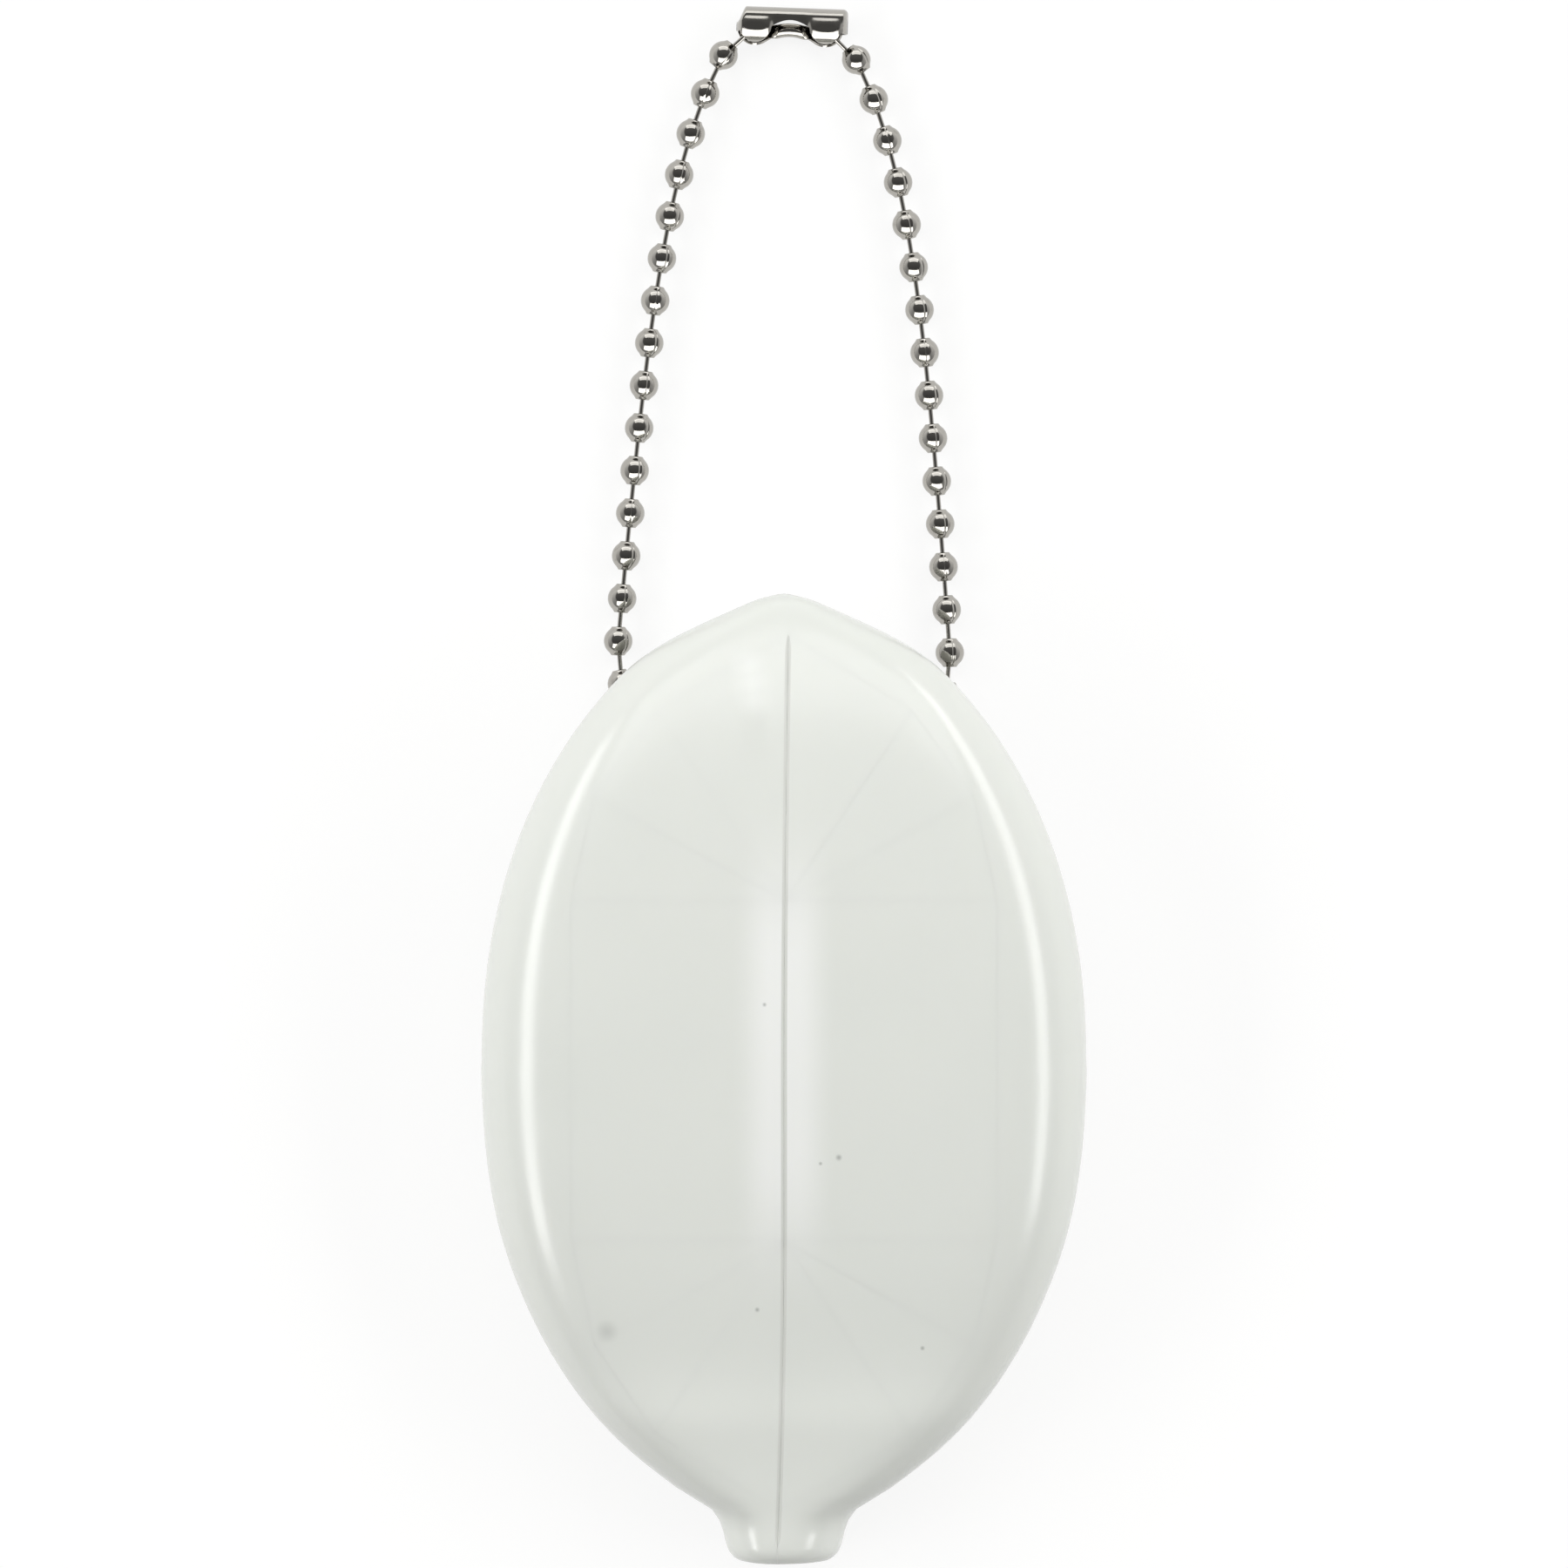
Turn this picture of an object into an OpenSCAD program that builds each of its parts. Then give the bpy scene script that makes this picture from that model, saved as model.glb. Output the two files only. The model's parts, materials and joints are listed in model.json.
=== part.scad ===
// Squeeze coin purse: an oval pouch of soft vinyl with one long slit down its front, and a
// loop of ball chain that passes through its back near the tip and closes in a small sleeve.
// The purse lies on its back, as it does on a table. X runs across it, Y runs from the neck
// to the chain, and Z points up out of the slit. All sizes are in millimetres.

/* [Pouch] */
// Width of the pouch at its widest line
pouch_w = 50; // [38:1:60]
// Length from the widest line to the tip
tip_len = 39.3; // [34:0.1:48]
// Length from the widest line to where the tail would close if it had no neck
tail_len = 37.3; // [31:0.1:45]
// Thickness of the closed pouch at the widest line
pouch_t = 16; // [14:0.5:20]
// Wall of the vinyl
wall = 1.8; // [1.4:0.1:2.2]
// Width of the neck that the moulding stem leaves at the tail
neck_w = 9.6; // [8:0.2:12]
// How far the neck stands out past the closed line of the tail
neck_out = 3.9; // [3:0.1:6]
// How fully the side edges are rounded in section: higher is flatter panels, sharper shoulders
panel_power = 6; // [4:0.5:8]
// Depth that the back is flattened where it rests
rest_flat = 0.5; // [0.45:0.05:0.7]
// Angle by which the chain under the pouch lifts its tip
lie_tilt = 3.6; // [3:0.1:5]

/* [Slit] */
// Width of the closed slit between the two lips
slit_gap = 0.3; // [0.2:0.05:0.6]
// Distance from the tip to the end of the slit
slit_tip = 3.6; // [3:0.1:8]
// Distance from the widest line to the lower end of the lips, where the neck begins
lip_low = 36.6; // [30:0.1:37]
// Distance of each lip's fold line from the slit
fold_x = 17.5; // [14:0.5:18]
// Half the length of each lip's fold line
fold_half = 17; // [10:0.5:20]
// Gap between a lip and the wall round it
lip_gap = 0.25; // [0.2:0.05:0.5]
// Clearance of each lip from the middle while it swings up past the other
swing_clear = 0.08; // [0.05:0.01:0.14]

/* [Ball chain] */
// Diameter of a ball
ball_d = 2.4; // [2.1:0.1:2.6]
// Wall of a ball
ball_wall = 0.2; // [0.15:0.05:0.25]
// Diameter of the two holes in a ball
ball_hole = 1; // [0.9:0.05:1.1]
// Distance from one ball to the next
pitch = 3.57; // [3.4:0.01:4.3]
// Diameter of the wire in a link
wire_d = 0.38; // [0.3:0.02:0.42]
// Diameter of the head at each end of a link
head_d = 1.28; // [1.2:0.02:1.3]
// Thickness of that head
head_t = 0.2; // [0.15:0.05:0.25]
// Distance from a ball's centre to the flat of the head inside it
head_in = 0.42; // [0.3:0.02:0.44]
// Balls in sight on each side, from the sleeve to the edge of the pouch
leg_balls = 15; // [12:1:15]
// Height of the row of balls that lies at the edge of the pouch, from the widest line
edge_y = 34.5; // [34:0.1:44]
// Lean of the chain's sides far from the sleeve
lean_far = 4.4; // [3:0.1:6]
// Extra lean of the chain's sides beside the sleeve
lean_near = 28; // [24:0.5:30]
// How many links that extra lean takes to fade
lean_fade = 3.1; // [2.5:0.1:3.6]
// Tilt of every row of two balls, because the right side lies a little lower
row_tilt = -2; // [-4:0.5:4]
// Drift of the middle of the loop to the right, for each row
row_drift = 0.035; // [0:0.005:0.06]
// Clearance round the chain where it passes through the back
chain_clear = 0.17; // [0.1:0.01:0.5]

/* [Sleeve] */
// Distance between the two end balls that the sleeve holds
sleeve_span = 5.84; // [5.4:0.02:7]
// Thickness of the sheet
sheet = 0.25; // [0.2:0.05:0.3]
// Clearance between an end ball and the sleeve
sleeve_clear = 0.06; // [0.04:0.01:0.1]
// Height of the straight edge above the end balls' line
sleeve_top = 1.7; // [1.6:0.05:1.9]
// Length of the sleeve past the left end ball
sleeve_left = 1.55; // [1.5:0.05:1.9]
// Length of the sleeve past the right end ball
sleeve_right = 1.85; // [1.5:0.05:1.9]
// Width of the folded rim along the straight edge
rim_w = 0.8; // [0.7:0.05:0.8]
// Height of the pinched waist's lower edge, measured from the end balls' line
waist_low = -0.37; // [-0.6:0.05:-0.2]
// Width of the pinched waist
waist_w = 0.69; // [0.5:0.05:0.8]
// Width of the window above the waist, between the two cups
window_w = 2.8; // [2.4:0.1:3]
// Width of the slot that lets each wire out
wire_slot = 0.95; // [0.8:0.05:1.1]
// Height of that slot
slot_h = 1.3; // [1:0.1:1.6]

/* [Hidden] */
$fn = 48;
vinyl = "#e2e4de";
nickel = "#b9b9b5";
// How far a cutting solid runs past what it cuts
past = 1;

// The chain turns inward under the pouch, climbs through the back and crosses inside it.
// Each link there has a turn away from the straight run and a climb, both in degrees.
under_turn = [5, 19, 36, 52, 62, 80];
under_climb = [0, 0, 0, 13, 42, 17];
hidden_balls = len(under_turn);
last_ball = leg_balls + hidden_balls;
// The steepest of those links is the one that goes through the back
climb_in = leg_balls + search(max(under_climb), under_climb)[0];
climb_out = climb_in + 1;

function two(n) = str(n < 10 ? "0" : "", n);
ball_nodes = [for (side = ["left", "right"]) for (n = [1:leg_balls]) str("ball_", side, "_", two(n))];
link_nodes = [for (n = [0:leg_balls - 1]) str("links_", two(n))];

// Pouch outline: half its width at a height y, an oval with a pointed tip and a blunt tail
half_w = pouch_w / 2;
half_t = pouch_t / 2;
neck_r = neck_w / 2;
nub_y = -(tail_len + neck_out);
// The neck's end is rounded over this depth, down to this share of its section's area
nub_round = 1.4;
nub_left = 0.2;
// Size of the fillet between the tail and the neck, and where the neck starts and is whole
neck_blend = 2.2;
neck_from = tail_len / 2;
neck_whole = tail_len * 3 / 4;
// The oval's curve: how it runs and how sharply it closes at the tip and at the tail
tip_run = 2.2;
tip_close = 0.606;
tail_run = 2;
tail_close = 0.526;
side_close = 0.5;
// The section's curve: the power of a round one, and how soon and how gently it turns flatter
round_power = 2;
panel_reach = 2.4;
panel_ease = 0.7;

function oval_left(y, spare) = y > 0 ? 1 - pow(min(1, y / (tip_len - spare)), tip_run)
    : 1 - pow(min(1, -y / (tail_len - spare)), tail_run);
function oval(y, size, spare, power_tip, power_tail) =
    size * pow(max(0, oval_left(y, spare)), y > 0 ? power_tip : power_tail);
// The larger of two sizes, with a fillet where they cross
function soft_max(a, b, fillet) = (a + b + sqrt((a - b) * (a - b) + fillet * fillet)) / 2;
function nub_end(y, spare) =
    let (depth = min(1, max(0, nub_y + nub_round - y) / nub_round))
    spare > 0 ? 1 : sqrt(1 - (1 - nub_left) * depth * depth);
function width_at(y, spare) = y > 0 ? oval(y, half_w - spare, spare, tip_close, tail_close)
    : soft_max(oval(y, half_w - spare, spare, tip_close, tail_close),
        neck_at(y) * (neck_r - spare), neck_blend) * nub_end(y, spare);
function height_at(y, spare) = y > 0 ? oval(y, half_t - spare, spare, side_close, side_close)
    : soft_max(oval(y, half_t - spare, spare, side_close, side_close),
        neck_at(y) * (neck_r - spare), neck_at(y) * neck_blend) * nub_end(y, spare);
// The neck counts only near the tail
function neck_at(y) = min(1, max(0, (-y - neck_from) / (neck_whole - neck_from)));
// The section is nearly round at the tip and the neck, and flat-panelled between them
function power_at(y) = round_power
    + (panel_power - round_power) * pow(max(0, min(1, oval_left(y, 0) * panel_reach)), panel_ease);

// Points round each ring and steps between the rings, which lie closer near the two ends:
// they are spaced as points on a half circle are, from this angle on
ring_points = 40;
ring_count = 32;
ring_start = 5;
function ring(y, spare) =
    let (w = width_at(y, spare), h = height_at(y, spare), n = power_at(y))
    [for (k = [0:ring_points - 1])
        let (a = 360 * k / ring_points, s = cos(a), up = sin(a) < 0 ? -1 : 1)
        [w * s, y, h * up * sqrt(max(0, 1 - pow(abs(s), n)))]];

module loft(low, high, spare) {
    turn = (180 - 2 * ring_start) / ring_count;
    ys = [for (k = [0:ring_count]) low + (high - low) * (1 - cos(ring_start + turn * k)) / 2];
    points = [for (y = ys) each ring(y, spare)];
    sides = [for (r = [0:ring_count - 1]) for (k = [0:ring_points - 1])
        let (a = r * ring_points + k, b = r * ring_points + (k + 1) % ring_points)
        each [[a, b, b + ring_points], [a, b + ring_points, a + ring_points]]];
    caps = [[for (k = [0:ring_points - 1]) ring_points - 1 - k],
        [for (k = [0:ring_points - 1]) ring_count * ring_points + k]];
    polyhedron(points, concat(sides, caps), convexity = 6);
}

// Where the pouch lies: tilted, and flattened where its back meets the table
pouch_z = norm([half_t * cos(lie_tilt), tail_len * sin(lie_tilt)]) - rest_flat;
module lying() { translate([0, 0, pouch_z]) rotate([lie_tilt, 0, 0]) children(); }

module pouch_wall() {
    difference() {
        loft(nub_y, tip_len, 0);
        loft(nub_y - past, tip_len - wall, wall);
    }
}

// The outline of one lip, seen from the front: side is -1 for the left and 1 for the right
module lip_plan(side, gap) {
    polygon([[side * slit_gap / 2, -lip_low + gap], [side * (fold_x - gap), -fold_half],
        [side * (fold_x - gap), fold_half], [side * slit_gap / 2, tip_len - slit_tip - gap]]);
}

module lips_opening() {
    lip_top = half_t + past;
    linear_extrude(lip_top) {
        lip_plan(-1, 0);
        lip_plan(1, 0);
    }
    translate([-slit_gap / 2, nub_y - past, 0])
        cube([slit_gap, tip_len - slit_tip - nub_y + past, lip_top]);
}

module pouch_shell() {
    color(vinyl) difference() {
        lying() difference() {
            pouch_wall();
            lips_opening();
        }
        translate([-pouch_w, -2 * tail_len, -pouch_t]) cube([2 * pouch_w, 4 * tail_len, pouch_t]);
        for (side = [-1, 1]) chain_hole(side);
    }
}

// All that swings about a lip's fold line without crossing the middle. The front dips towards its
// ends, below that line, so a lip is cut back there. The round is made of flats.
fold_z = half_t * sqrt(1 - pow(fold_x / half_w, panel_power));
reach_flats = 144;
module lip_reach(side) {
    rotate([90, 0, 0]) linear_extrude(4 * tail_len, center = true)
        polygon(arc([side * fold_x, fold_z], fold_x - swing_clear,
            0, 360 - 360 / reach_flats, reach_flats - 1));
}

module lip(side) {
    color(vinyl) lying() intersection() {
        pouch_wall();
        linear_extrude(half_t + past) lip_plan(side, lip_gap);
        lip_reach(side);
    }
}

// Chain layout: ball 0 is the end ball in the sleeve, and the count runs down each side
ball_r = ball_d / 2;
end_r = ball_r + sleeve_clear;
sleeve_r = end_r + sheet;
function add(v, i = 0) = i < len(v) ? v[i] + add(v, i + 1) : 0;
function lean(i) = lean_far + lean_near * exp(-i / lean_fade);
function inward(k) = pitch * sin(under_turn[k]) * cos(under_climb[k]);
function down(k) = pitch * cos(under_turn[k]) * cos(under_climb[k]);
function upward(k) = pitch * sin(under_climb[k]);
function half_span(i) = i == 0 ? sleeve_span / 2
    : i < leg_balls ? half_span(leg_balls) - pitch * add([for (j = [i:leg_balls - 1]) sin(lean(j))])
    : pitch / 2 + add([for (k = [0:hidden_balls - 1]) k >= i - leg_balls ? inward(k) : 0]);
function row_y(i) = i == 0 ? row_y(1) + sqrt(pitch * pitch - pow(half_span(1) - half_span(0), 2))
    : i < leg_balls ? edge_y + pitch * add([for (j = [i:leg_balls - 1]) cos(lean(j))])
    : edge_y - add([for (k = [0:hidden_balls - 1]) k < i - leg_balls ? down(k) : 0]);
function row_z(i) = i == 0 ? sleeve_r
    : ball_r + add([for (k = [0:hidden_balls - 1]) k < i - leg_balls ? upward(k) : 0]);
function ball_at(side, i) = [
    row_drift * max(0, leg_balls - i) + side * half_span(i) * cos(row_tilt),
    row_y(i) + side * half_span(i) * sin(row_tilt),
    row_z(i)];

function unit(v) = v / norm(v);
// A ball's holes point between its two wires. Where the chain shows, they are nearer the wire
// above, which swings, and where it is hidden they are halfway.
swing_share = 0.6;
still_share = 0.5;
function bore_at(side, i) =
    let (here = ball_at(side, i), share = i > leg_balls ? still_share : swing_share)
    let (below = i == last_ball ? ball_at(-side, i) : ball_at(side, i + 1))
    let (above = i == 0 ? 2 * here - below : ball_at(side, i - 1))
    unit(share * unit(above - here) + (1 - share) * unit(here - below));

module point_along(v) { rotate([0, acos(v.z / norm(v)), atan2(v.y, v.x)]) children(); }

module ball(side, i) {
    color(nickel) translate(ball_at(side, i)) point_along(bore_at(side, i)) difference() {
        sphere(ball_r);
        sphere(ball_r - ball_wall);
        cylinder(h = 2 * ball_d, d = ball_hole, center = true);
    }
}

// A link between two ball centres: a wire with a flat head inside each ball
module link(a, b) {
    reach = pitch / 2 - head_in;
    color(nickel) translate((a + b) / 2) point_along(b - a) {
        cylinder(h = 2 * reach, d = wire_d, center = true);
        for (end = [-1, 1]) translate([0, 0, end * (reach - head_t / 2)])
            cylinder(h = head_t, d = head_d, center = true);
    }
}

module side_links(first, last) {
    for (side = [-1, 1]) for (i = [first:last]) link(ball_at(side, i), ball_at(side, i + 1));
}

// The hole that a side of the chain climbs through, as wide as its two nearest balls need.
// It is punched with flat sides.
hole_sides = 12;
module chain_hole(side) {
    low = ball_at(side, climb_in);
    high = ball_at(side, climb_out);
    run = [high.x - low.x, high.y - low.y];
    translate([(low.x + high.x) / 2, (low.y + high.y) / 2, 0])
        linear_extrude(pouch_z) circle(norm(run) / 2 + ball_r + chain_clear, $fn = hole_sides);
}

// Sleeve plan, with the end balls' line along X: inset moves every edge inward by one amount.
// A lobe goes round each end ball, and the waist is an arc that touches both lobes.
function arc(centre, r, from, to, steps = 12) =
    [for (k = [0:steps]) let (a = from + (to - from) * k / steps) centre + r * [cos(a), sin(a)]];
// How far below the end balls' line the short sides end, and where the lobes' outer arcs start,
// both as angles seen from the end balls
side_end = 15;
left_lobe = 20;
right_lobe = 30;
// The left end slopes at this angle and clears its ball as the lobe does; the right is rounded
end_slope = 30;
corner_r = 0.42;
module sleeve_plan(inset) {
    half = sleeve_span / 2;
    left = sleeve_left - inset;
    right = half + sleeve_right - inset;
    top = sleeve_top - inset;
    lobe = sleeve_r - inset;
    slope_low = (lobe - left * cos(end_slope)) / sin(end_slope);
    slope_in = (lobe - top * sin(end_slope)) / cos(end_slope);
    waist_r = (half * half + waist_low * waist_low - sleeve_r * sleeve_r) / 2 / (sleeve_r + waist_low);
    meet = atan2(waist_r - waist_low, half);
    polygon(concat(
        [[-half - left, slope_low], [-half - left, -lobe * sin(side_end)]],
        arc([-half, 0], lobe, 180 + left_lobe, 360 - meet),
        arc([0, waist_low - waist_r], waist_r + inset, 180 - meet, meet),
        arc([half, 0], lobe, 180 + meet, 360 - right_lobe),
        [[right, -lobe * sin(side_end)]],
        arc([right - corner_r, top - corner_r], corner_r, 0, 90, 6),
        [[-half - slope_in, top]]));
}

// The cup over each end ball is the top of a larger ball, above the height called from
module sleeve_cups(radius, from) {
    for (side = [-1, 1]) translate([side * sleeve_span / 2, 0, 0]) intersection() {
        sphere(radius);
        translate([-radius, -radius, from]) cube([2 * radius, 2 * radius, radius]);
    }
}

module sleeve() {
    left = ball_at(-1, 0);
    right = ball_at(1, 0);
    turn = atan2(right.y - left.y, right.x - left.x);
    rim_z = sqrt(end_r * end_r - pow(sleeve_top - rim_w, 2));
    cup_from = rim_z / 2;
    window_low = waist_low + waist_w;
    color(nickel) translate((left + right) / 2) rotate([0, 0, turn]) difference() {
        union() {
            translate([0, 0, -sleeve_r]) linear_extrude(sleeve_r + rim_z + sheet) sleeve_plan(0);
            sleeve_cups(sleeve_r, cup_from);
        }
        translate([0, 0, -end_r]) linear_extrude(end_r + rim_z) sleeve_plan(sheet);
        sleeve_cups(end_r, cup_from);
        translate([-window_w / 2, window_low, -2 * sleeve_r])
            cube([window_w, sleeve_top - rim_w - window_low, 4 * sleeve_r]);
        for (side = [-1, 1]) {
            wire = ball_at(side, 1) - ball_at(side, 0);
            translate([side * sleeve_span / 2, 0, 0]) rotate([0, 0, atan2(wire.y, wire.x) - turn])
                translate([0, -wire_slot / 2, -slot_h / 2]) cube([2 * sleeve_r, wire_slot, slot_h]);
        }
    }
}

// The object's middle from end to end, which the origin stands under
top_y = row_y(0) + sleeve_top;
low_y = nub_y * cos(lie_tilt);
mid_y = (top_y + low_y) / 2;

translate([0, -mid_y, 0]) {
    pouch_shell();
    lip(-1);  // left_lip
    lip(1);  // right_lip
    sleeve();
    ball(-1, 0);  // end_ball_left
    ball(1, 0);  // end_ball_right
    for (n = [1:leg_balls]) {
        ball(-1, n);
        ball(1, n);
        side_links(n - 1, n - 1);
    }
    for (side = [-1, 1]) for (i = [leg_balls + 1:climb_in]) ball(side, i);  // under_balls
    for (side = [-1, 1]) for (i = [climb_out:last_ball]) ball(side, i);  // inner_balls
    union() {  // hidden_links
        side_links(leg_balls, last_ball - 1);
        link(ball_at(-1, last_ball), ball_at(1, last_ball));
    }
}
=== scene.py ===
# %% [markdown]
# # A squeeze coin purse
#
# The purse is one hollow moulding of soft white vinyl with a slit down its front. A loop of ball
# chain goes through its back and closes in a small metal sleeve. This lesson builds its looks in
# Blender, round a frame of plain parts that is already the right size and in the right place.
#
# The frame comes first. Nothing in it is moved: each piece made here takes its place from it and hides
# the part that it stands for, and all but the lip's gores ride on that part's moving body.

# %% Load the frame
import json
import math

import bmesh
import bpy
from mathutils import Matrix, Vector, noise

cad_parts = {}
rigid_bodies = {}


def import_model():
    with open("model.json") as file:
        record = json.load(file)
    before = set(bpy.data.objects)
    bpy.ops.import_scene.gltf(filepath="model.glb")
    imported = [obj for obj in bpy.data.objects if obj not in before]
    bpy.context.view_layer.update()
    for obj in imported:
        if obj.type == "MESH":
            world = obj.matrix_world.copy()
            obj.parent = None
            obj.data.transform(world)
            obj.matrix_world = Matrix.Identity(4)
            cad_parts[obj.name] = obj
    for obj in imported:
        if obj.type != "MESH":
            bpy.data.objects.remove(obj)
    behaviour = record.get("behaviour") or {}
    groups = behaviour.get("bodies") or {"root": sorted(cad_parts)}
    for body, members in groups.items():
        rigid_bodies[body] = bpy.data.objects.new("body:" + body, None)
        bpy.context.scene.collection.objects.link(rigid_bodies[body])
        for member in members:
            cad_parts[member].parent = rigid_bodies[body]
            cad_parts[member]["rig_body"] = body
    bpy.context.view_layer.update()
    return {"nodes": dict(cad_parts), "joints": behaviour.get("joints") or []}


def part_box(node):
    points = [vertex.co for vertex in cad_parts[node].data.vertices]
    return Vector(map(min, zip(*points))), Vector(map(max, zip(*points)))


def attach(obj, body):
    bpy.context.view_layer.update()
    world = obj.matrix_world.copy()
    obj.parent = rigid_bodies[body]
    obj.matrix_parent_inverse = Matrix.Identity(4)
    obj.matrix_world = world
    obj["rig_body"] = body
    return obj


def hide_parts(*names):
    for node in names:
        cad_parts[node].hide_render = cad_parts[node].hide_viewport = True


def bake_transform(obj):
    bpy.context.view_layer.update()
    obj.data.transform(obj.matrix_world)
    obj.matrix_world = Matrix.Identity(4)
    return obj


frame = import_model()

MM = 0.001

# %% [markdown]
# ## The camera
#
# The photograph looks straight down on the purse, with the neck at the bottom of the picture. A long
# lens from just over a metre up gives that flat, product-shot look, and still lets the camera be
# moved round the object for other views. The picture's width is a real length: 1800 pixels at
# 0.07215 mm each, the scale that the ball chain gives.

# %% Camera
PICTURE_PIXELS = 1800
PIXEL = 0.07215 * MM
MIDDLE_HEIGHT = 6 * MM
MIDDLE_Y = -0.18 * MM

lens = bpy.data.cameras.new("product_lens")
lens.lens = 300
lens.sensor_width = 36
camera = bpy.data.objects.new("camera", lens)
bpy.context.scene.collection.objects.link(camera)
distance = PICTURE_PIXELS * PIXEL * lens.lens / lens.sensor_width
camera.location = (0, MIDDLE_Y, MIDDLE_HEIGHT + distance)
bpy.context.scene.camera = camera
print("camera distance, m:", round(distance, 3))

# %% [markdown]
# ## The pouch's own frame
#
# The pouch lies tilted, because the chain under it lifts its tip. It is far easier to draw it
# upright, in millimetres, and to lay it down at the end. The frame says how it lies: the right lip's
# hinge runs along the pouch's own length, at a known place on its front.

# %% Sizes of the outline, in the pouch's own frame and in mm
HALF_WIDTH, HALF_DEPTH = 25, 8
WALL = 1.8
TIP, TAIL = 39.3, 37.3
TIP_ROUND, TIP_END = 38.2, 38.87
NECK_RADIUS, NECK_END, NECK_FILLET = 4.8, -41.2, 2.2
NECK_FROM, NECK_WHOLE = 17, 30
# The frame's oval: how fast it leaves its widest line, and how round it closes.
TIP_RUN, TIP_CLOSE = 2.2, 0.606
TAIL_RUN, TAIL_CLOSE = 2.0, 0.526
SIDE_CLOSE = 0.5
# Its cross section, from a round one at the ends to a flat panel in the middle.
ROUND_POWER, PANEL_POWER = 2, 6
PANEL_REACH, PANEL_EASE = 2.4, 0.7
# What the real one has beside that: straighter sides at the tip, and more flesh above the neck.
POINTED, POINTED_FROM, POINTED_RUN = 0.62, 32, 2.6
FLANK, FLANK_FROM, FLANK_FULL, FLANK_FADES, FLANK_GONE = 0.38, 2, 16, 36, 39.5
SHOULDER, SHOULDER_Y, SHOULDER_REACH = 0.54, -36.2, 1.6
NECK_SLIM, SLIM_FROM, SLIM_FULL = 0.35, 38, 41
print("length, mm:", round(TIP_END - NECK_END, 2))

# %% Going gently from one size to another


def share(value, low, high):
    """How far a value is from low to high, kept from 0 to 1."""
    return min(1.0, max(0.0, (value - low) / (high - low)))


def eased(value, low, high):
    """The same, but leaving 0 and reaching 1 gently, so that a surface shows no kink there."""
    part = share(value, low, high)
    return part * part * (3 - 2 * part)


def bell(value, middle, reach):
    """1 at the middle, fading to nearly 0 at twice the reach."""
    return math.exp(-(((value - middle) / reach) ** 2))


def soft_max(a, b, fillet):
    """The larger of two sizes, with a fillet where they cross."""
    return (a + b + math.sqrt((a - b) ** 2 + fillet**2)) / 2


print("a fifth of the way, plain and eased:", share(0.2, 0, 1), round(eased(0.2, 0, 1), 3))

# %% Half width, half depth and cross section along the pouch


def oval_left(y, inset=0):
    """1 at the widest line and 0 where the oval closes."""
    if y > 0:
        return 1 - share(y, 0, TIP - inset) ** TIP_RUN
    return 1 - share(-y, 0, TAIL - inset) ** TAIL_RUN


def tip_round(y):
    """1 along the pouch, closing to 0 in a small round at the tip."""
    return math.sqrt(1 - share(y, TIP_ROUND, TIP_END) ** 2)


def half_width(y, inset=0):
    """Half the width at a height y. An inset of the wall's thickness gives the inner skin."""
    oval = (HALF_WIDTH - inset) * oval_left(y, inset) ** (TIP_CLOSE if y > 0 else TAIL_CLOSE)
    if y > 0:
        return oval * (1 - POINTED * share(y, POINTED_FROM, TIP) ** POINTED_RUN) * tip_round(y)
    neck = eased(-y, NECK_FROM, NECK_WHOLE)
    flank = FLANK * eased(-y, FLANK_FROM, FLANK_FULL) * (1 - eased(-y, FLANK_FADES, FLANK_GONE))
    shoulder = SHOULDER * bell(y, SHOULDER_Y, SHOULDER_REACH)
    slimmer = NECK_SLIM * eased(-y, SLIM_FROM, SLIM_FULL)
    return soft_max(oval, neck * (NECK_RADIUS - inset), NECK_FILLET) + flank + shoulder - slimmer


def half_depth(y, inset=0):
    """Half the thickness at a height y, in the same way."""
    oval = (HALF_DEPTH - inset) * oval_left(y, inset) ** SIDE_CLOSE
    if y > 0:
        return oval * tip_round(y)
    neck = eased(-y, NECK_FROM, NECK_WHOLE)
    return soft_max(oval, neck * (NECK_RADIUS - inset), neck * NECK_FILLET)


def section_power(y):
    """2 is a round section, and more is a flatter panel with sharper shoulders."""
    flat = min(1.0, oval_left(y) * PANEL_REACH) ** PANEL_EASE
    return ROUND_POWER + (PANEL_POWER - ROUND_POWER) * flat


print("widest, deepest, mm:", 2 * half_width(0), 2 * half_depth(0))

# %% How the pouch lies in the frame
hinges = {joint["name"]: joint for joint in frame["joints"]}
right_fold = hinges["right_lip_fold"]
fold_axis = Vector(right_fold["axis"])
tilt = math.atan2(fold_axis.z, fold_axis.y)
FOLD_X = right_fold["pos_m"][0] / MM
fold_height = HALF_DEPTH * math.sqrt(1 - (FOLD_X / HALF_WIDTH) ** PANEL_POWER)
turn = Matrix.Rotation(tilt, 4, "X")
fold_point = turn @ Vector((FOLD_X, 0, fold_height))
pouch_origin = Vector(right_fold["pos_m"]) / MM - fold_point
lay_down = Matrix.Scale(MM, 4) @ Matrix.Translation(pouch_origin) @ turn
print("tilt, degrees:", round(math.degrees(tilt), 2), "lift, mm:", round(pouch_origin.z, 3))

# %% [markdown]
# ## The moulding
#
# The real pouch is slush moulded: liquid vinyl is swirled in a hot hollow mould, sets against its
# wall and is pulled out in one piece through the neck. So it has no seam, its outside copies a
# polished mould, and its edges are all soft. The slit is cut afterwards, which leaves two lips whose
# edges nearly touch.
#
# A mesh for this is drawn as rows across the pouch. Each row starts at the slit, goes over the
# shoulder and round to the middle of the back, once for the outer skin and once for the inner one.
# The two skins meet at the slit in a small rounded edge, and at the neck in a rounded nose. All of
# it is one closed wall, so it can be punched and cut like the real one.

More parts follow.
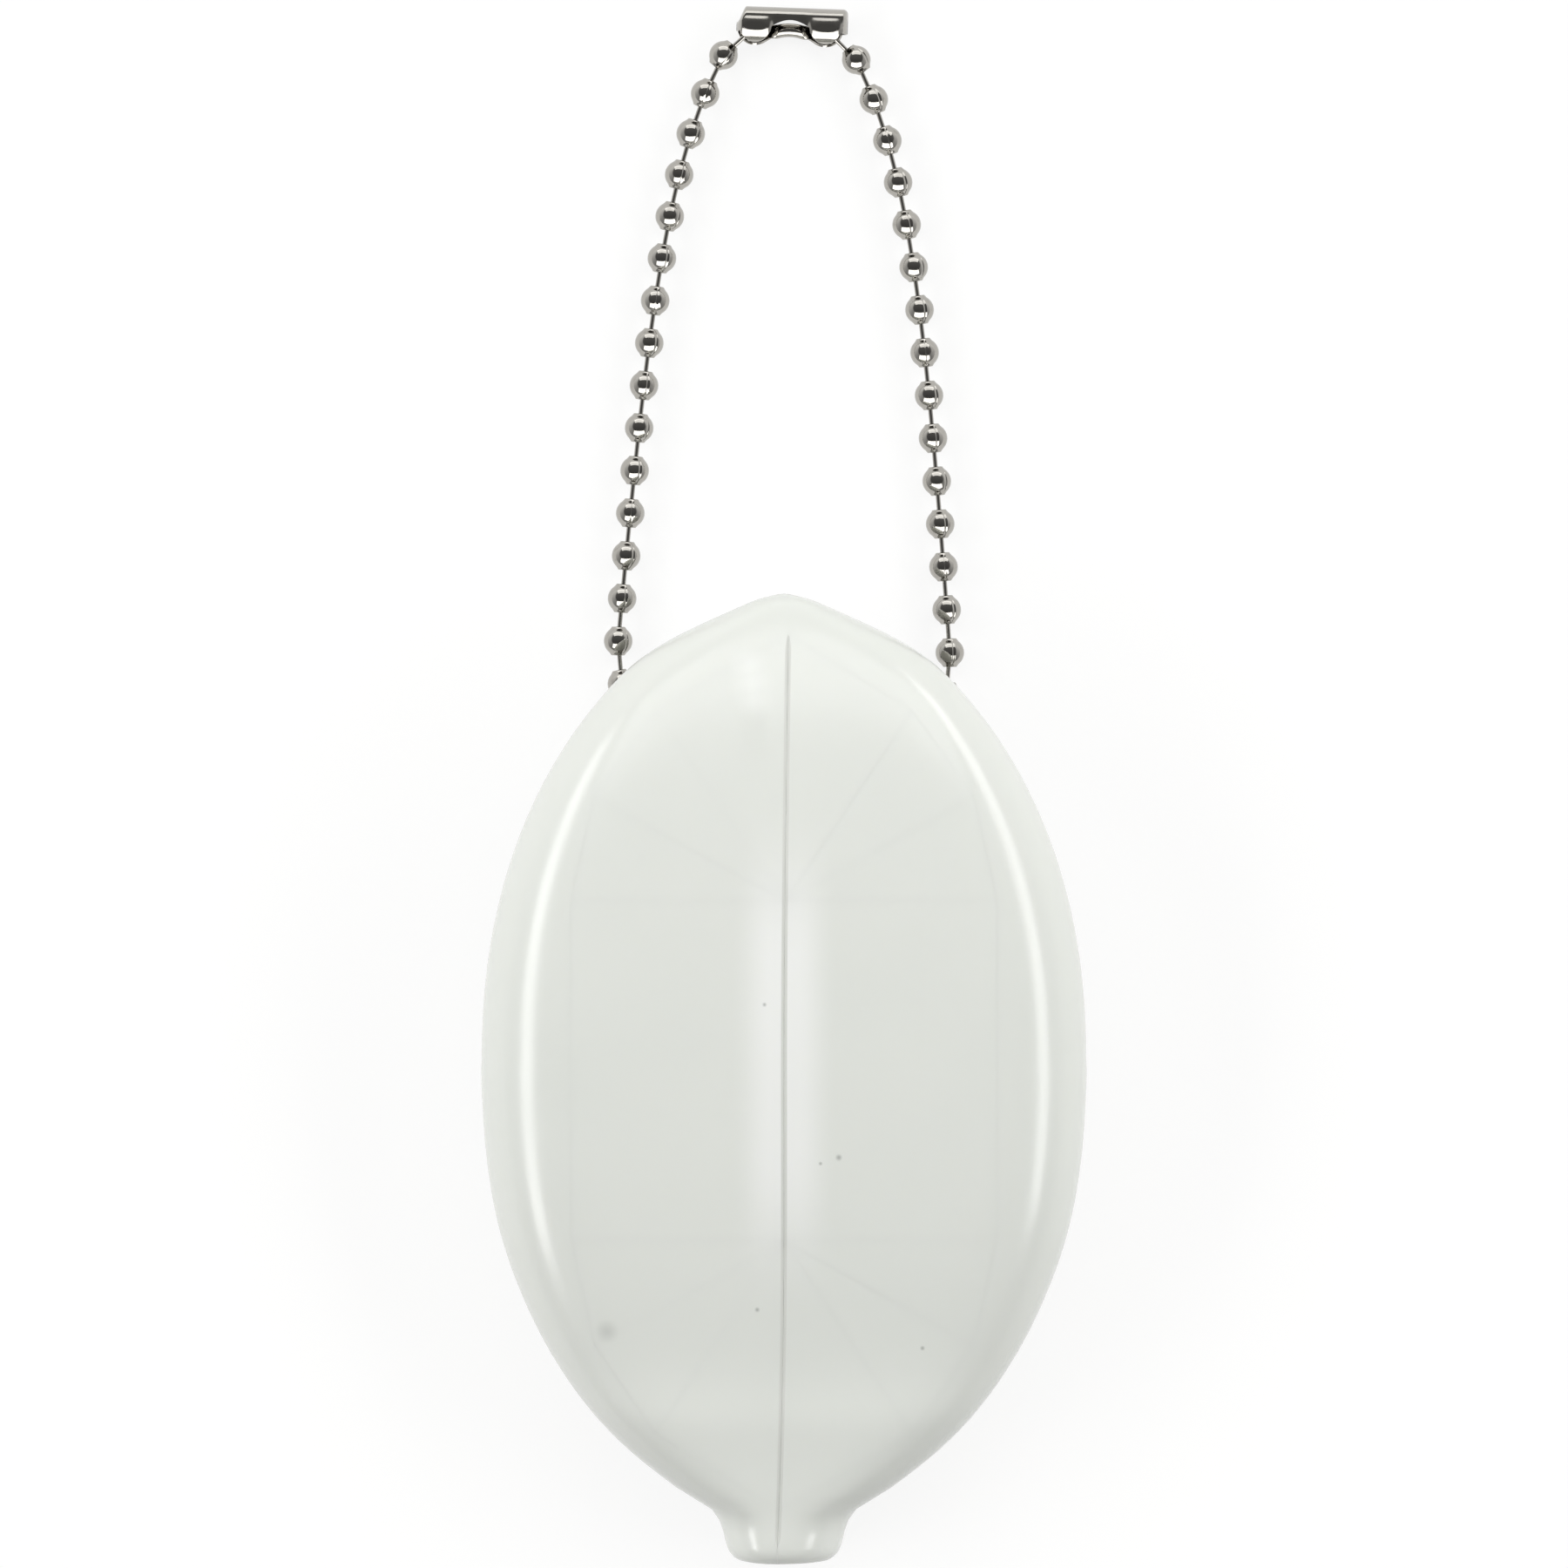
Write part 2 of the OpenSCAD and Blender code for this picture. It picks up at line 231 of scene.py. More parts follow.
# %% What the hand feels on the front: swelling lips, a pucker, a crease and a slight unevenness
SWELL, SWELL_REACH, SWELL_MIDDLE, SWELL_LENGTH = 0.5, 2.7, 0.5, 17
PUCKER, PUCKER_X, PUCKER_Y = 0.35, -2.7, 30.6
PUCKER_WIDTH, PUCKER_LENGTH = 0.8, 3.4
CREASE, CREASE_X, CREASE_LONG, CREASE_THIN = 0.09, 2.2, 1.0, 0.35
CREASE_Y, CREASE_SLOPE = 33.9, 0.25
UNEVEN, UNEVEN_SIZE, UNEVEN_EDGE = 0.07, 11, 0.3


def relief(x, y):
    """How far the front stands above its plain curve, in mm."""
    swell = SWELL * bell(x, 0, SWELL_REACH) * bell(y, SWELL_MIDDLE, SWELL_LENGTH)
    pucker = PUCKER * bell(x, PUCKER_X, PUCKER_WIDTH) * bell(y, PUCKER_Y, PUCKER_LENGTH)
    crease_y = CREASE_Y + CREASE_SLOPE * abs(x)
    crease = CREASE * bell(abs(x), CREASE_X, CREASE_LONG) * bell(y, crease_y, CREASE_THIN)
    spread = share(oval_left(y), 0, UNEVEN_EDGE)
    uneven = UNEVEN * noise.noise(Vector((x, y, 0)) / UNEVEN_SIZE) * spread
    return swell + pucker - crease + uneven


print("swell beside the slit, mm:", round(relief(0, SWELL_MIDDLE), 3))

# %% A point of the outer or the inner skin
ROWS, FRONT_COLUMNS, BACK_COLUMNS = 132, 54, 38
SLIT_CROWD = 1.25
BACK_INSIDE = 0.6
NOSE_LONG, NOSE_OUT, NOSE_IN, NOSE_DIP = 1.4, 0.7, 0.3, 0.5
NOSE_START = NECK_END + NOSE_LONG
SLIT_END, SLIT_FADE = 35.7, 1.2
SLIT_HALF_GAP = 0.003
SLIT_ROUND, SLIT_DROP = 0.24, 0.06
SLIT_FLARE, SLIT_INNER_ROUND = 0.25, 0.2
SLIT_STEPS = (0.33, 0.67)
# Over this length the slit's edges go from square, at the neck's end, to rounded.
SQUARE_RUN = 1
TINY = 1e-9


def slit_open(y):
    """1 along the slit, falling to 0 at its end."""
    return math.sqrt(share(SLIT_END - y, 0, SLIT_FADE))


def slit_rounded(y):
    """1 where the slit's edges are rounded, falling to 0 where they meet the neck's end."""
    return share(y, NOSE_START, NOSE_START + SQUARE_RUN)


def slit_start(y, depth):
    """Where a row starts beside the slit, at a depth of 0 for the outer skin and 1 for the inner."""
    edge = SLIT_ROUND * (1 - depth) + (SLIT_FLARE + SLIT_INNER_ROUND) * depth
    return slit_open(y) * (SLIT_HALF_GAP + slit_rounded(y) * edge)


def flat_back(y):
    """The pouch's own z of the table, under a height y."""
    return -(pouch_origin.z + y * math.sin(tilt)) / math.cos(tilt)


def wall_point(side, y, column, depth):
    """A point of a skin, or between the two skins. Columns stand closest beside the slit."""
    width = half_width(y, WALL * depth)
    height = half_depth(y, WALL * depth)
    if column <= FRONT_COLUMNS:
        turned = math.radians(90 * (column / FRONT_COLUMNS) ** SLIT_CROWD)
        start = slit_start(y, depth)
        x = start + (width - start) * math.sin(turned)
    else:
        turned = math.radians(90 + 90 * (column - FRONT_COLUMNS) / BACK_COLUMNS)
        x = width * math.sin(turned)
    across = min(1.0, x / max(width, TINY))
    arch = height * math.sqrt(max(0.0, 1 - across ** section_power(y)))
    if column > FRONT_COLUMNS:
        low = flat_back(y) + BACK_INSIDE * WALL * depth
        return Vector((side * x, y, max(-arch, low)))
    return Vector((side * x, y, arch + relief(side * x, y) * arch / HALF_DEPTH))


print("middle of the front and the back, mm:", [round(wall_point(1, 0, column, 0).z, 2)
                                                for column in (0, FRONT_COLUMNS + BACK_COLUMNS)])

# %% The cut edge of a lip, and the rounded end of the neck


def quarter(steps):
    """The angles of a quarter turn, in equal steps, without the first."""
    return [math.radians(90 * k / steps) for k in range(1, steps + 1)]


def slit_edge(side, y):
    """Points from the outer skin to the inner one, round the cut edge of a lip."""
    outer = wall_point(side, y, 0, 0)
    inner = wall_point(side, y, 0, 1)
    rounded = slit_rounded(y) * slit_open(y)
    face = slit_open(y) * SLIT_HALF_GAP
    r_out, r_in = SLIT_ROUND * rounded, SLIT_INNER_ROUND * rounded
    points = [outer]
    for a in quarter(3):
        drop = SLIT_DROP * rounded * (1 - math.cos(a))
        points.append(Vector((outer.x - side * r_out * math.sin(a), y, outer.z - drop)))
    top = points[-1].z
    for step in SLIT_STEPS:
        z = top + (inner.z + r_in - top) * step
        points.append(Vector((side * (face + SLIT_FLARE * rounded * step**2), y, z)))
    for a in reversed(quarter(3)):
        rise = r_in * (1 - math.cos(a))
        points.append(Vector((inner.x - side * r_in * math.sin(a), y, inner.z + rise)))
    return points + [inner]


def nose_curve():
    """Depth and y of each step round the neck's rounded end, from the outer skin to the inner."""
    outer = [(NOSE_OUT - NOSE_OUT * math.cos(a), NOSE_START - NOSE_LONG * math.sin(a))
             for a in quarter(5)]
    inner = [(NOSE_OUT + NOSE_IN * math.sin(a), NECK_END + NOSE_DIP * (1 - math.cos(a)))
             for a in quarter(3)]
    return outer + inner


print("points round a lip's edge and the neck's end:", len(slit_edge(1, 0)), len(nose_curve()))

# %% Sew the points into one closed wall
OUTSIDE, INSIDE = 0, 1
SAME_PLACE = 4
ROW_GAP = 0.1


class Wall:
    """Gathers points and faces, and keeps one vertex where several points coincide."""

    def __init__(self):
        self.points, self.places, self.faces, self.finish = [], {}, [], []

    def vertex(self, point):
        """The number of the vertex at a point, which is made if there is none yet."""
        key = tuple(round(v, SAME_PLACE) for v in point)
        if key not in self.places:
            self.places[key] = len(self.points)
            self.points.append(point)
        return self.places[key]

    def face(self, points, finish):
        """Adds a face. Points that coincide count once, so that a square can end as a triangle."""
        loop = []
        for index in map(self.vertex, points):
            if index not in loop:
                loop.append(index)
        if len(loop) > 2:
            self.faces.append(loop)
            self.finish.append(finish)

    def strip(self, one, other, finish):
        """Adds the squares between two rows of points."""
        for k in range(len(one) - 1):
            self.face([one[k], one[k + 1], other[k + 1], other[k]], finish)


def row_heights():
    """Heights of the rows: far apart along the pouch and close at the tip."""
    ys = [NOSE_START + (TIP_END - NOSE_START) * math.sin(math.pi / 2 * k / ROWS)
          for k in range(ROWS + 1)]
    nearest = min(range(len(ys)), key=lambda k: abs(ys[k] - SLIT_END))
    ys[nearest] = SLIT_END
    return ys


def sew_wall():
    """Both skins, the slit's edges and the neck's end, for the left side and then the right one."""
    wall = Wall()
    columns = range(FRONT_COLUMNS + BACK_COLUMNS + 1)
    outer_rows = row_heights()
    inner_tip = TIP - WALL
    inner_rows = [y for y in outer_rows if y < inner_tip - ROW_GAP] + [inner_tip]
    for side in (-1, 1):
        for ys, depth in ((outer_rows, 0), (inner_rows, 1)):
            rows = [[wall_point(side, y, k, depth) for k in columns] for y in ys]
            for low, high in zip(rows, rows[1:]):
                wall.strip(low, high, OUTSIDE if depth == 0 else INSIDE)
        edges = [slit_edge(side, y) for y in outer_rows if y <= SLIT_END]
        for low, high in zip(edges, edges[1:]):
            wall.strip(low, high, INSIDE)
        nose = [(0, NOSE_START)] + nose_curve() + [(1, NOSE_START)]
        rows = [[wall_point(side, y, k, depth) for k in columns] for depth, y in nose]
        for low, high in zip(rows, rows[1:]):
            wall.strip(low, high, OUTSIDE)
        # The lip's edge ends at the neck in one face, which fills the outline of the rounded nose.
        wall.face([row[0] for row in rows] + edges[0][-2:0:-1], INSIDE)
    return wall


wall = sew_wall()
print("wall:", len(wall.points), "points,", len(wall.faces), "faces")

# %% [markdown]
# ## Where the chain lies
#
# The chain's balls in sight are parts of the frame, so the middle of each one's box is its centre.
# The hidden ones share two parts, so their places are worked out as a chain layer would: a fixed
# pitch, with a turn inward and a climb at each link, up through the back and across inside.

# %% Ball centres, in mm, from the sleeve to the middle of the pouch
VISIBLE = 15
PITCH = 3.57
BALL_RADIUS = 1.2
# Degrees that each hidden link is turned inward and climbs.
UNDER_TURN = [5, 19, 36, 52, 62, 80]
UNDER_CLIMB = [0, 0, 0, 13, 42, 17]
ROW_TILT = -2
SIDES = {"left": -1, "right": 1}
UP = Vector((0, 0, 1))


def centre(node):
    """The middle of a frame part's box, in mm."""
    low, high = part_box(node)
    return (low + high) / 2 / MM


def chain_side(name):
    """Centres of one side's balls, from the one in the sleeve to the last one inside the pouch."""
    balls = [centre(f"end_ball_{name}")]
    balls += [centre(f"ball_{name}_{n:02d}") for n in range(1, VISIBLE + 1)]
    across = Matrix.Rotation(math.radians(ROW_TILT), 3, "Z") @ Vector((-SIDES[name], 0, 0))
    for turned, climbed in zip(UNDER_TURN, UNDER_CLIMB):
        a, c = math.radians(turned), math.radians(climbed)
        step = across * math.sin(a) * math.cos(c)
        step += Vector((0, -math.cos(a) * math.cos(c), math.sin(c)))
        balls.append(balls[-1] + PITCH * step)
    return balls


chain = {name: chain_side(name) for name in SIDES}
crossing = (chain["left"][-1] - chain["right"][-1]).length
print("balls a side:", len(chain["left"]), "last link, mm:", round(crossing, 3), "of", PITCH)

# %% [markdown]
# ## Punching and cutting the wall
#
# Two round holes let the chain through the back, so two punches are taken from the wall with a
# boolean. Then the front is cut where it has to bend. In use the lips fold out from the slit, and
# each one turns about a line near the pouch's side. A sheet that bends can't be one stiff piece, so
# the front is parted along straight cuts like the gores of an umbrella: a middle strip, and three
# wedges at each end that fan round a point of the slit. Each gore is given where a bend would
# start, on its outer edge, and where it would end, at the slit.
#
# The smooth normals are taken before the cuts and given back after, so no cut shows at rest.

# %% Punch the chain's holes
HOLE_CLEARANCE, HOLE_SIDES = 0.17, 48
CLIMB = VISIBLE + UNDER_CLIMB.index(max(UNDER_CLIMB))


def mesh_object(name, points, faces):
    """A new object in the scene, with a mesh of these points and faces."""
    mesh = bpy.data.meshes.new(name)
    mesh.from_pydata(points, [], faces)
    made = bpy.data.objects.new(name, mesh)
    bpy.context.scene.collection.objects.link(made)
    return made


def hole_punch():
    """Both punches, standing upright on the table, in the pouch's own frame."""
    into_pouch = turn.inverted() @ Matrix.Translation(-pouch_origin)
    shape = bmesh.new()
    for balls in chain.values():
        low, high = balls[CLIMB], balls[CLIMB + 1]
        radius = (high - low).xy.length / 2 + BALL_RADIUS + HOLE_CLEARANCE
        middle = Vector(((low.x + high.x) / 2, (low.y + high.y) / 2, pouch_origin.z / 2))
        bmesh.ops.create_cone(shape, cap_ends=True, segments=HOLE_SIDES, radius1=radius,
                              radius2=radius, depth=pouch_origin.z,
                              matrix=into_pouch @ Matrix.Translation(middle))
    for face in shape.faces:
        face.material_index = INSIDE
    punch = mesh_object("punch", [], [])
    shape.to_mesh(punch.data)
    shape.free()
    return punch


def finished_mesh(made):
    """A new mesh that is the object's own with its modifiers applied."""
    seen = made.evaluated_get(bpy.context.evaluated_depsgraph_get())
    return bpy.data.meshes.new_from_object(seen)


def punched(wall):
    """The wall as a mesh, with the two holes through its back."""
    body = mesh_object("blank", wall.points, wall.faces)
    shape = bmesh.new()
    shape.from_mesh(body.data)
    for face, finish in zip(shape.faces, wall.finish):
        face.material_index = finish
    bmesh.ops.recalc_face_normals(shape, faces=shape.faces)
    shape.to_mesh(body.data)
    shape.free()
    punch = hole_punch()
    # Two empty material slots on each, so that the boolean keeps the number of every face's finish.
    for made in (body, punch):
        for _ in (OUTSIDE, INSIDE):
            made.data.materials.append(None)
    take = body.modifiers.new("holes", "BOOLEAN")
    take.object = punch
    take.solver = "EXACT"
    made = finished_mesh(body)
    for spare in (body, punch):
        bpy.data.objects.remove(spare)
    return made


blank = punched(wall)
print("punched wall:", len(blank.vertices), "vertices,", len(blank.polygons), "faces")

# %% Keep the smooth normals, with real edges left sharp
SHARP = math.radians(50)


def keep_normals(mesh):
    """Marks the real edges and writes the normals down, before any cut that shouldn't show."""
    shape = bmesh.new()
    shape.from_mesh(mesh)
    for edge in shape.edges:
        edge.smooth = not (edge.is_manifold and edge.calc_face_angle() > SHARP)
    for face in shape.faces:
        face.smooth = True
    shape.to_mesh(mesh)
    shape.free()
    kept = mesh.attributes.new("moulded_normal", "FLOAT_VECTOR", "CORNER")
    kept.data.foreach_set("vector", [v for n in mesh.corner_normals for v in n.vector])


keep_normals(blank)
print("edges kept sharp:", sum(1 for e in blank.edges if e.use_edge_sharp))

# %% The gores of one lip: a middle strip and two fans of wedges
STRIP_HALF, LIP_END = 14, -36.6
UPPER_RIM = [(FOLD_X, STRIP_HALF), (15.6, 22.5), (10.5, 29.5), (0, SLIT_END)]
LOWER_RIM = [(FOLD_X, -STRIP_HALF), (15.6, -22.8), (10.6, -30.2), (0, LIP_END)]


def gores():
    """Name, corners and bend of each gore of the right lip. A bend goes from start to end."""
    made = {"middle": ([(0, -STRIP_HALF), (FOLD_X, -STRIP_HALF), (FOLD_X, STRIP_HALF),
                        (0, STRIP_HALF)], (FOLD_X, 0), (0, 0))}
    for name, rim in (("upper", UPPER_RIM), ("lower", LOWER_RIM)):
        fan = Vector((0, rim[0][1]))
        for k, (a, b) in enumerate(zip(rim, rim[1:])):
            a, b = Vector(a), Vector(b)
            along = (b - a).normalized()
            # The bend starts at the rim's point nearest to the fan, and ends at the fan.
            foot = a + along * (fan - a).dot(along)
            corners = [fan, a, b] if name == "upper" else [fan, b, a]
            made[f"{name}_{k + 1}"] = ([tuple(c) for c in corners], tuple(foot), tuple(fan))
    return made


gore_plan = gores()
print("gores of a lip:", list(gore_plan))

# %% Part the wall along the gores' edges
CUT_SNAP = 1e-4
CUT_MARGIN = 1


def inside(corners, x, y):
    """Whether a point is inside a convex outline that runs anticlockwise."""
    return all((bx - ax) * (y - ay) - (by - ay) * (x - ax) > 0
               for (ax, ay), (bx, by) in zip(corners, corners[1:] + corners[:1]))


def part_wall(mesh):
    """Cuts the front along every gore edge, and gives the faces of each piece by name."""
    shape = bmesh.new()
    shape.from_mesh(mesh)
    cuts = {tuple(sorted((a, b))) for corners, _, _ in gore_plan.values()
            for a, b in zip(corners, corners[1:] + corners[:1])}
    for side in (-1, 1):
        for (ax, ay), (bx, by) in sorted(cuts):
            # A gore's edge along the slit needs no cut.
            if ax == 0 and bx == 0:
                continue
            low, high = min(ay, by) - CUT_MARGIN, max(ay, by) + CUT_MARGIN
            reach = max(ax, bx) + CUT_MARGIN
            near = []
            for face in shape.faces:
                middle = face.calc_center_median()
                beside = -CUT_MARGIN < side * middle.x < reach
                if middle.z > 0 and low < middle.y < high and beside:
                    near.append(face)
            around = set(near)
            for face in near:
                around.update(face.edges, face.verts)
            bmesh.ops.bisect_plane(shape, geom=list(around), dist=CUT_SNAP,
                                   plane_co=(side * ax, ay, 0),
                                   plane_no=(by - ay, -side * (bx - ax), 0))
    shape.to_mesh(mesh)
    shape.free()
    pieces = {"pouch_body": []}
    for face in mesh.polygons:
        x, y, z = face.center
        found = "pouch_body"
        if z > 0:
            for name, (corners, _, _) in gore_plan.items():
                if inside(corners, abs(x), y):
                    found = f"lip_{'right' if x > 0 else 'left'}_{name}"
        pieces.setdefault(found, []).append(face.index)
    return pieces


gore_faces = part_wall(blank)
print("pieces of the pouch:", {name: len(found) for name, found in gore_faces.items()})

# %% [markdown]
# ## Materials
#
# A node tree is a lot of typing, so one small function adds a node, sets its options and fills its
# inputs, either with a value or with another node's output. Colours are written as the hex values
# that a paint program shows, and turned to linear light by one function.

# %% Nodes, colours and new materials


def add(tree, kind, inputs={}, **settings):
    """Adds a node. An input is a value, or another node's output to be linked to it."""
    node = tree.nodes.new(kind)
    for name, value in settings.items():
        setattr(node, name, value)
    for name, value in inputs.items():
        if isinstance(value, bpy.types.NodeSocket):
            tree.links.new(value, node.inputs[name])
        else:
            node.inputs[name].default_value = value
    return node


def linear(hex_colour):
    """A hex colour as linear red, green, blue and alpha."""
    values = [int(hex_colour[k:k + 2], 16) / 255 for k in (1, 3, 5)]
    light = [v / 12.92 if v <= 0.04045 else ((v + 0.055) / 1.055) ** 2.4 for v in values]
    return (*light, 1.0)


def new_material(name):
    """An empty material and its node tree."""
    made = bpy.data.materials.new(name)
    made.use_nodes = True
    made.node_tree.nodes.clear()
    return made, made.node_tree


print("pale grey in linear light:", [round(v, 3) for v in linear("#e2e4de")[:3]])

# %% [markdown]
# ### Slush-moulded PVC
#
# Soft white PVC copies its mould: a wet-looking gloss, an index of refraction of 1.53, and a very
# slight unevenness that makes long reflections wander. White pigment never spreads quite evenly, so
# the white drifts between a warm and a cool tone over some 15 mm, and a few specks of dust are
# caught in it. Handling leaves patches that are a little duller.
# The paler white along the lips beside the slit and on the pucker is a painted highlight.

# %% Marks on the skin, and painted highlights, as masks
SPECKS = [(-1.6, 5.0, 0.24), (3.0, -8.1, 0.22), (4.5, -7.6, 0.36), (-2.2, -20.2, 0.28),
          (11.4, -23.4, 0.26)]
SMUDGE = [(-14.6, -22.0, 1.2)]
# Painted highlight on the pucker beside the slit's top: three spots where the white is paler.
PUCKER_HIGHLIGHT_SPOTS = [(-2.9, 32.8, 2.0), (-2.6, 31.4, 2.2), (-2.4, 30.0, 2.0)]
# Painted highlight along both lips beside the slit, in mm: how far across, and where along.
LIP_HIGHLIGHT_NARROW, LIP_HIGHLIGHT_WIDE = 1.0, 4.4
LIP_HIGHLIGHT_MIDDLE, LIP_HIGHLIGHT_SHORT, LIP_HIGHLIGHT_LONG = 0.5, 8, 21


def spot_mask(tree, place, spots):
    """1 in the middle of each spot and 0 away from them all. A spot is x, y and radius in mm."""
    mask = None
    flat = add(tree, "ShaderNodeVectorMath", {0: place, 1: (1, 1, 0)}, operation="MULTIPLY")
    for x, y, radius in spots:
        to_spot = lay_down @ Vector((x, y, 0))
        apart = add(tree, "ShaderNodeVectorMath",
                    {0: flat.outputs[0], 1: (to_spot.x, to_spot.y, 0)}, operation="DISTANCE")
        near = add(tree, "ShaderNodeMapRange",
                   {"Value": apart.outputs["Value"], "From Min": 0.0, "From Max": radius * MM,
                    "To Min": 1.0, "To Max": 0.0}, interpolation_type="SMOOTHSTEP").outputs[0]
        if mask is None:
            mask = near
        else:
            mask = add(tree, "ShaderNodeMath", {0: mask, 1: near}, operation="MAXIMUM").outputs[0]
    return mask


def lip_highlight_mask(tree, place):
    """Painted highlight: 1 along the lips' middle, fading to 0 away from the slit and to their ends.
    """
    to_middle = lay_down @ Vector((0, LIP_HIGHLIGHT_MIDDLE, 0))
    from_middle = add(tree, "ShaderNodeVectorMath", {0: place, 1: to_middle}, operation="SUBTRACT")
    apart = add(tree, "ShaderNodeVectorMath", {0: from_middle.outputs[0]}, operation="ABSOLUTE")
    split = add(tree, "ShaderNodeSeparateXYZ", {0: apart.outputs[0]})
    near = []
    for axis, low, high in (("X", LIP_HIGHLIGHT_NARROW, LIP_HIGHLIGHT_WIDE), ("Y", LIP_HIGHLIGHT_SHORT, LIP_HIGHLIGHT_LONG)):
        near.append(add(tree, "ShaderNodeMapRange",
                        {"Value": split.outputs[axis], "From Min": low * MM, "From Max": high * MM,
                         "To Min": 1.0, "To Max": 0.0}, interpolation_type="SMOOTHSTEP"))
    return add(tree, "ShaderNodeMath", {0: near[0].outputs[0], 1: near[1].outputs[0]},
               operation="MULTIPLY").outputs[0]


print("marks:", len(SPECKS), "specks,", len(SMUDGE), "smudge,", len(PUCKER_HIGHLIGHT_SPOTS), "stretched spots")

# %% The outer skin
PVC_WARM, PVC_COOL = "#e8eae4", "#e4e7e1"
# The paler white is painted highlight, on the lips and the pucker; the grey is dust and a smudge.
PAINTED_HIGHLIGHT_WHITE, SPECK_GREY = "#fafbf8", "#8d908b"
PAINTED_HIGHLIGHT_SHARE, PUCKER_HIGHLIGHT_SHARE, SPECK_SHARE, SMUDGE_SHARE = 0.72, 0.42, 0.6, 0.25
# In mm: how far the white drifts, how wide a handled patch is, and the mould's own unevenness.
DRIFT_SIZE, HANDLING_SIZE, PEEL_SIZE = 15, 9, 2.2
NOISE_LOW, NOISE_HIGH = 0.3, 0.7
POLISH, HANDLED_POLISH = 0.18, 0.25
PEEL_STRENGTH, PEEL_HEIGHT = 0.25, 0.02
# Both finishes are the same vinyl, which light enters by a little more than half a millimetre.
PVC_BODY = {"IOR": 1.53, "Subsurface Weight": 0.2, "Subsurface Radius": (1.0, 1.0, 0.9),
            "Subsurface Scale": 0.6 * MM}


def skin_colour(tree, place):
    """The drifting white, made paler by painted highlights on the lips and pucker, then marked."""
    drift = add(tree, "ShaderNodeTexNoise",
                {"Vector": place, "Scale": 1 / (DRIFT_SIZE * MM), "Detail": 2.0})
    colour = add(tree, "ShaderNodeMix",
                 {0: drift.outputs[0], 6: linear(PVC_WARM), 7: linear(PVC_COOL)}, data_type="RGBA")
    # Painted highlight: the pucker's spots and the lips beside the slit are made paler.
    pucker_highlight = add(tree, "ShaderNodeMath",
                    {0: spot_mask(tree, place, PUCKER_HIGHLIGHT_SPOTS), 1: PUCKER_HIGHLIGHT_SHARE}, operation="MULTIPLY")
    painted_highlight = add(tree, "ShaderNodeMath", {0: lip_highlight_mask(tree, place), 1: pucker_highlight.outputs[0]},
                 operation="MAXIMUM")
    for mask, most, mark in ((painted_highlight.outputs[0], PAINTED_HIGHLIGHT_SHARE, PAINTED_HIGHLIGHT_WHITE),
                             (spot_mask(tree, place, SPECKS), SPECK_SHARE, SPECK_GREY),
                             (spot_mask(tree, place, SMUDGE), SMUDGE_SHARE, SPECK_GREY)):
        part = add(tree, "ShaderNodeMath", {0: mask, 1: most}, operation="MULTIPLY")
        colour = add(tree, "ShaderNodeMix",
                     {0: part.outputs[0], 6: colour.outputs[2], 7: linear(mark)}, data_type="RGBA")
    return colour.outputs[2]


def slush_moulded_pvc():
    """A wet gloss that handling dulls in patches, over the mould's slight unevenness."""
    made, tree = new_material("slush_moulded_pvc")
    place = add(tree, "ShaderNodeAttribute", attribute_name="moulded_place").outputs["Vector"]
    handling = add(tree, "ShaderNodeTexNoise",
                   {"Vector": place, "Scale": 1 / (HANDLING_SIZE * MM), "Detail": 5.0})
    rough = add(tree, "ShaderNodeMapRange",
                {"Value": handling.outputs[0], "From Min": NOISE_LOW, "From Max": NOISE_HIGH,
                 "To Min": POLISH, "To Max": HANDLED_POLISH})
    peel = add(tree, "ShaderNodeTexNoise",
               {"Vector": place, "Scale": 1 / (PEEL_SIZE * MM), "Detail": 3.0})
    bump = add(tree, "ShaderNodeBump",
               {"Height": peel.outputs[0], "Strength": PEEL_STRENGTH, "Distance": PEEL_HEIGHT * MM})
    skin = add(tree, "ShaderNodeBsdfPrincipled",
               {"Base Color": skin_colour(tree, place), "Roughness": rough.outputs[0],
                "Normal": bump.outputs[0], **PVC_BODY})
    add(tree, "ShaderNodeOutputMaterial", {"Surface": skin.outputs[0]})
    return made


outer_finish = slush_moulded_pvc()
print("outer skin:", len(outer_finish.node_tree.nodes), "nodes")

# %% [markdown]
# ### Unpolished PVC
#
# The inner skin sets in the air inside the mould, and the slit and the holes are cut with a blade and
# a punch, so none of them copies the mould's polish. To the eye the same vinyl is a little greyer
# there and clearly duller, with soft runs some 6 mm apart where the liquid drained.

# %% Inner skin and cut edges
INNER_PALE, INNER_GREY = "#dcddd7", "#d3d6cf"
RUN_SIZE, RUN_STRENGTH, RUN_HEIGHT = 6, 0.5, 0.1
DULL, DULLEST = 0.42, 0.6


